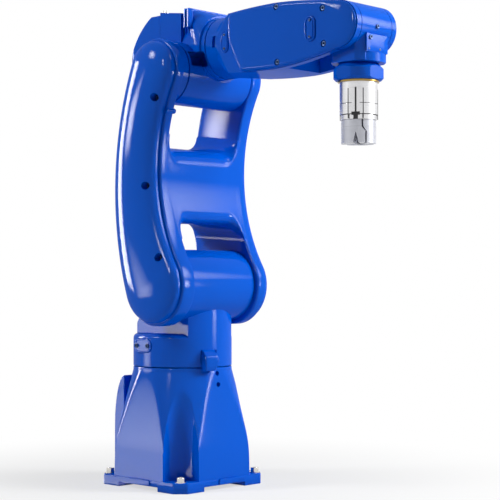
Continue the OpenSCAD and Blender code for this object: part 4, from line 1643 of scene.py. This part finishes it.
@dataclass
class Wrist:
    """The wrist's housing with its front plate and the tool collar."""

    plate: Plate = Plate(50.0, 27.0, 3.0, 1.6, 0.7)
    plate_at_mm: Point = (413.0, 0.0, 687.5)
    screw: SocketScrew = SocketScrew(3.4, 2.2, 3.0, 2.0, 1.5, 0.5)
    screws_mm: tuple[Point, ...] = ((415.9, 0.0, 713.0), (415.8, -16.0, 695.5))
    plug: SocketScrew = SocketScrew(1.9, 0.6, 2.0, 1.2, 1.0, 0.2)
    plugs_mm: tuple[Point, ...] = ((415.9, -19.0, 678.5), (415.9, 6.5, 679.5))

    def build(self, shop: Workshop) -> None:
        """Dresses the wrist's castings and makes its plate and screws."""
        shop.casting("wrist_housing", BLUE_ENAMEL, round_mm=1.6, angle_deg=24.0)
        shop.casting("tool_collar", BLUE_ENAMEL, round_mm=1.4, angle_deg=20.0)
        shop.stand_in("wrist_front_plate", [self.plate.patch(self.plate_at_mm, FORWARD)])
        screws = [self.screw.patch(place, FORWARD) for place in self.screws_mm]
        plugs = [self.plug.patch(place, FORWARD) for place in self.plugs_mm]
        shop.surface("wrist_screws", screws + plugs, "wrist", BLUED_STEEL)


@dataclass
class Gripper:
    """The tool flange, the gripper's body with its dark slots, its painted shade strips and rings, its
    jaws and fingers.
    """

    jaws: tuple[int, ...] = (1, 2, 3)
    turns_deg: tuple[float, ...] = (-60.0, 60.0, 180.0)
    axis_x_mm: float = 380.0
    slot: Plate = Plate(2.3, 36.0, 3.0, 0.5, 0.2)
    slot_floor_mm: float = 22.7
    slot_z_mm: float = 605.0
    # Black strips along each guide flat's edges: painted shade beside the proud guide block.
    guide_shade_line: Plate = Plate(1.5, 45.0, 0.7, 0.3, 0.1)
    guide_half_mm: float = 11.2
    guide_floor_mm: float = 25.75
    guide_z_mm: float = 599.5
    seam_flat_mm: float = 26.35
    seam_t_mm: float = 1.0
    # Dark rings flush with the body at its seams: painted shade of the seam gaps.
    seam_shade_rings_mm: tuple[tuple[float, float, float], ...] = ((27.6, 599.84, 600.6), (27.5, 583.2, 584.25))

    def seam(self, reach_mm: float, low_mm: float, high_mm: float) -> Patch:
        """A dark ring in a seam of the body, painted shade of the seam's gap: the least of a circle and
        of the guides' flats.

        A flat's distance from the axis at an angle off its middle is the flat's own
        distance over the angle's cosine.

        Args:
            reach_mm: The circle's radius.
            low_mm: Height of the ring's lower edge.
            high_mm: Height of its upper edge.

        Returns:
            The closed ring in place.
        """
        turn = np.radians(np.arange(180.0) * 2.0)
        middles = np.radians(self.turns_deg)[:, None]
        off = np.abs((turn - middles + math.pi) % (2 * math.pi) - math.pi).min(axis=0)
        rim = np.minimum(reach_mm, self.seam_flat_mm / np.cos(off))
        radius = rim - self.seam_t_mm * np.array([1.0, 0.0, 0.0, 1.0, 1.0])[:, None]
        up = np.array([low_mm, low_mm, high_mm, high_mm, low_mm])[:, None]
        up = np.broadcast_to(up, radius.shape)
        points = np.stack([radius * np.cos(turn), radius * np.sin(turn), up], axis=-1)
        return Patch((points + np.array([self.axis_x_mm, 0.0, 0.0])) * MM)

    def build(self, shop: Workshop) -> None:
        """Dresses the gripper's parts, lines its slots and sets its painted shade strips and rings."""
        # The flange's brass is darkened as painted shade.
        shop.casting("tool_flange", SHADED_BRASS_RING, round_mm=0.5)
        shop.casting("gripper_body", SATIN_ALUMINIUM, round_mm=0.5)
        slots, lines = [], []
        for turn in np.radians(self.turns_deg):
            x, y = math.cos(turn), math.sin(turn)
            out = (x, y, 0.0)
            floor, beside = self.slot_floor_mm, self.guide_floor_mm
            slots.append(self.slot.patch((self.axis_x_mm + floor * x, floor * y, self.slot_z_mm), out))
            for half in (-self.guide_half_mm, self.guide_half_mm):
                place_x = self.axis_x_mm + beside * x - half * y
                place = (place_x, beside * y + half * x, self.guide_z_mm)
                lines.append(self.guide_shade_line.patch(place, out))
        # The seam rings and the guide strips are painted shade; the slot plates are black.
        seams = [self.seam(*sizes) for sizes in self.seam_shade_rings_mm]
        shop.surface("dark_slots_and_painted_shade_strips", [*slots, *lines, *seams], "tool", BLACK_STEEL_AND_SHADE)
        for number in self.jaws:
            shop.casting(f"base_jaw_{number}", BLACK_STEEL_AND_SHADE, round_mm=0.4)
            shop.casting(f"finger_{number}", GROUND_STEEL, round_mm=0.7)


def main() -> None:
    """Builds the studio and every sub-assembly in order."""
    logging.basicConfig(level=logging.INFO, format="%(name)s: %(message)s")
    Studio().build()
    shop = Workshop(Paintbox())
    for part in (Base(), SwivelHead(), LowerArm(), Elbow(), Forearm(), Wrist(), Gripper()):
        part.build(shop)


if __name__ == "__main__":
    main()
